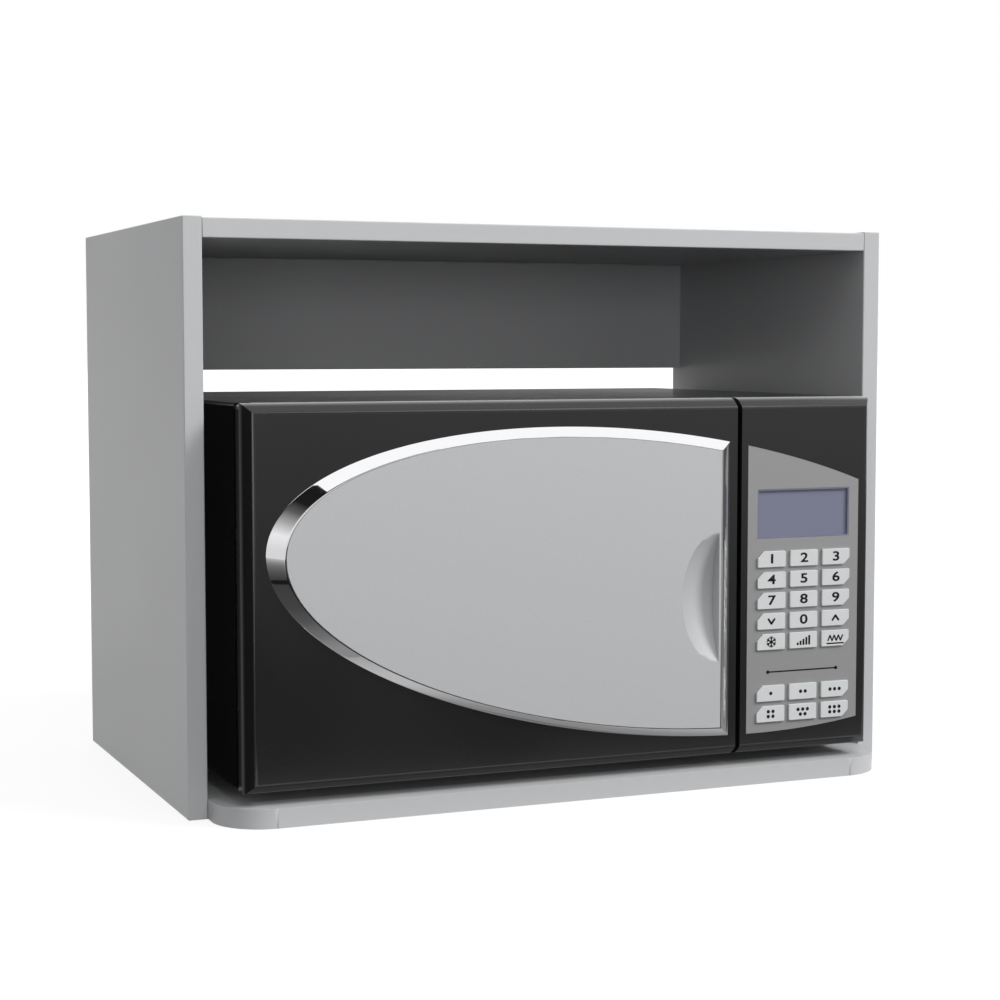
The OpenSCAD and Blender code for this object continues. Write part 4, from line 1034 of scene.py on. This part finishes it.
# %% Gleams
def gloss_lamp(name, place, aim, size, power, *pieces):
    """A lamp that only puts a gleam on the named pieces."""
    lamp = soft_lamp(name, place, aim, size, power)
    lamp.visible_glossy = True
    lamp.visible_diffuse = False
    lit = bpy.data.collections.new(name + " lights")
    for piece in pieces:
        lit.objects.link(nodes[piece])
    lamp.light_linking.receiver_collection = lit
    return lamp


# For each gleam its place, what it aims at, its width and height, and its power.
gleams = {
    "edge gleam": ((0.02, -0.155, 0.36), (0.02, -0.3, 0.36), (0.66, 0.083), 0.27),
    "low gleam": ((0.0, -0.25, 0.008), (0.0, -0.25, 1.0), (0.7, 0.045), 0.16),
    "high gleam": ((0.66, -1.0, 1.55), middle, (0.9, 0.6), 5),
    "left gleam": ((-1.1, -1.4, 0.1), middle, (1.1, 1.2), 13),
}
for name, settings in gleams.items():
    gloss_lamp(name, *settings, "door_frame", "control_bezel")
print("hung", len(gleams), "gleams")

# %% [markdown]
# ## Cards
# Plating shows nothing but what stands round it. In a white room it would be white all
# over, so a photographer hangs grey cards, and the rim gets its dark and bright bands. Only
# reflections see these cards. Each gives off a grey of its own, or greys blended along one
# axis, so that a band starts or ends softly.


# %% Card finishes
def card_finish(name, axis, low, high, *stops):
    """A card that gives off greys, blended along one axis from low to high."""
    card = Finish(name, (0, 0, 0, 1), roughness=1.0, specular_ior_level=0.0)
    place = card.node("SeparateXYZ", None, [card.place()], axis)
    share = card.node("MapRange", None, {"Value": place, "From Min": low, "From Max": high})
    card.set(emission_color=card.ramp(share, *stops), emission_strength=1.0)
    return card.material


def even_grey(name, grey):
    return card_finish(name, "Z", 0.0, 1.0, (0.0, grey), (1.0, grey))


def hide_card(card):
    """Leaves a card to reflections alone."""
    card.visible_camera = False
    card.visible_diffuse = False
    card.visible_transmission = False
    card.visible_shadow = False


def flat_card(name, finish, corners):
    """A card between four corners."""
    hide_card(make_mesh(name, corners, [(0, 1, 2, 3)], finish))


print("card helpers are ready")


# %% Cards hung round the object
def band_faces(steps):
    """Faces of a band whose points come in pairs."""
    return [(2 * i, 2 * i + 2, 2 * i + 3, 2 * i + 1) for i in range(steps)]


def hang_card(name, finish, bearings, heights, distance=2.2, steps=24):
    """A card bent round the object, between two bearings and two heights in degrees."""
    points = []
    for i in range(steps + 1):
        bearing = math.radians(bearings[0] + (bearings[1] - bearings[0]) * i / steps)
        for height in heights:
            lift = math.radians(height)
            flat = math.cos(lift)
            way = Vector((math.sin(bearing) * flat, -math.cos(bearing) * flat, math.sin(lift)))
            points.append(tuple(middle + way * distance))
    hide_card(make_mesh(name, points, band_faces(steps), finish))


upper_greys = card_finish("upper card", "Z", 0.0, 1.8, (0.02, 0.7), (0.14, 0.7), (0.34, 0.86),
                          (0.5, 0.42), (0.64, 0.11), (0.76, 0.012), (1.0, 0.01))
hang_card("upper card", upper_greys, bearings=(-60, 12), heights=(-5.5, 44))
hang_card("right card", even_grey("right card", 0.085), bearings=(65, 115), heights=(-10, 25))
hang_card("left side card", even_grey("left side card", 0.02), bearings=(-60, -112),
          heights=(-5.5, 40))
print("hung three bent cards")


# %% Cards laid on the floor
def lay_card(name, finish, left, right, near, far, z=cad_box[0].z - 0.2 * mm):
    """A flat card in front of the object, just above the floor or at another height."""
    corners = [(left, -far, z), (right, -far, z), (right, -near, z), (left, -near, z)]
    flat_card(name, finish, corners)


def lay_wedge(name, finish, bearings, near, far, steps=8):
    """A card on the floor, spread between two bearings from the oven's left edge."""
    z = cad_box[0].z - 0.15 * mm
    points = []
    for i in range(steps + 1):
        bearing = math.radians(bearings[0] + (bearings[1] - bearings[0]) * i / steps)
        for reach in (near, far):
            points.append((door_low.x + math.sin(bearing) * reach,
                           front - math.cos(bearing) * reach, z))
    hide_card(make_mesh(name, points, band_faces(steps), finish))


near_greys = card_finish("near card", "Y", -0.5, -0.24, (0.0, 0.048), (0.35, 0.052),
                         (0.64, 0.058), (0.81, 0.088), (0.93, 0.16), (1.0, 0.25))
lay_card("near card", near_greys, left=-2.0, right=2.0, near=0.22, far=0.5)
left_greys = card_finish("left card", "Y", -2.2, -0.5, (0.0, 0.68), (0.5, 0.3), (0.7, 0.165),
                         (0.96, 0.05), (1.0, 0.045))
lay_card("left card", left_greys, left=-8.0, right=-0.5, near=0.5, far=8.0)
far_greys = card_finish("far card", "X", -0.5, 3.0, (0.0, 0.01), (0.2, 0.02), (0.46, 0.35),
                        (1.0, 0.45))
lay_card("far card", far_greys, left=-0.5, right=8.0, near=0.5, far=8.0)
right_greys = card_finish("right floor card", "X", 0.3, 5.0, (0.0, 0.27), (0.1, 0.18),
                          (0.35, 0.13), (1.0, 0.08))
lay_card("right floor card", right_greys, left=0.36, right=6.0, near=-2.5, far=0.5)
lay_wedge("side card", even_grey("side card", 0.02), bearings=(-58, -100), near=0.03, far=8.0)
print("laid five cards on the floor")

# %% [markdown]
# ## Three small cards
# The rim's lower bands mirror the bottom board right in front of the oven, so a card lies on
# it, with greys that paint the board's reflection and its shade under the oven. The left
# bevel mirrors the slit beside the left board, so a card stands in it, a painted reflection
# of the slit. The case's top mirrors a card behind the cabinet, a painted reflection in a
# grey that grows lighter to the right.

# %% Cards at the board, in the slit and behind
# painted reflection: the board's top and its shade under the oven, as greys
painted_shelf_reflection = card_finish("shelf card", "Y", -0.24, -0.19, (0.0, 0.25), (0.13, 0.275),
                          (0.4, 0.4), (0.58, 0.485), (0.7, 0.48), (0.78, 0.376), (0.84, 0.25),
                          (1.0, 0.24))
lay_card("shelf card", painted_shelf_reflection, left=-0.26, right=0.26, near=0.17, far=0.2245,
         z=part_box("bottom_board")[1].z + 0.2 * mm)


def slit_card(beside=8 * mm, above=20 * mm, back=0.19):
    """A card beside the oven's left edge, as high as the door."""
    x = door_low.x - beside
    low, high = cad_box[0].z + above, door_high.z
    # painted reflection of the slit, as greys
    greys = card_finish("slit card", "Y", front, front + 40 * mm, (0.0, 0.01), (0.28, 0.02),
                        (0.4, 0.4), (0.75, 0.4), (0.86, 0.01))
    flat_card("slit card", greys, [(x, front, low), (x, back, low), (x, back, high),
                                   (x, front, high)])


def rear_card(left=-0.25, right=2.2, low=0.29, high=1.1, y=1.2):
    """A card standing behind the cabinet."""
    # painted reflection of what stands behind the cabinet, a grey lighter to the right
    greys = card_finish("rear card", "X", 0.06, 0.93, (0.0, 0.09), (1.0, 0.36))
    flat_card("rear card", greys, [(left, y, low), (right, y, low), (right, y, high),
                                   (left, y, high)])


slit_card()
rear_card()
print("placed three small cards")

# %% [markdown]
# ## Camera
# The photograph's camera stood left of the cabinet, a little above its middle: 27 degrees
# of view, turned 22.8 degrees to the right and 4.2 degrees down.

# %% Camera
camera_place = Vector((-680.89, -1654.0, 354.33)) * mm
camera_yaw = math.radians(22.811)
camera_pitch = math.radians(-4.226)
view_angle = math.radians(27)

camera_data = bpy.data.cameras.new("camera")
camera_data.sensor_width = 36
camera_data.lens = camera_data.sensor_width / 2 / math.tan(view_angle / 2)
camera_data.clip_start = 0.05
camera_data.clip_end = 100
camera = bpy.data.objects.new("camera", camera_data)
camera.location = camera_place
camera.rotation_euler = (math.pi / 2 + camera_pitch, 0, -camera_yaw)
bpy.context.scene.collection.objects.link(camera)
bpy.context.scene.camera = camera
bpy.context.scene.view_settings.view_transform = "Standard"
print(f"camera lens {camera_data.lens:.2f} mm")
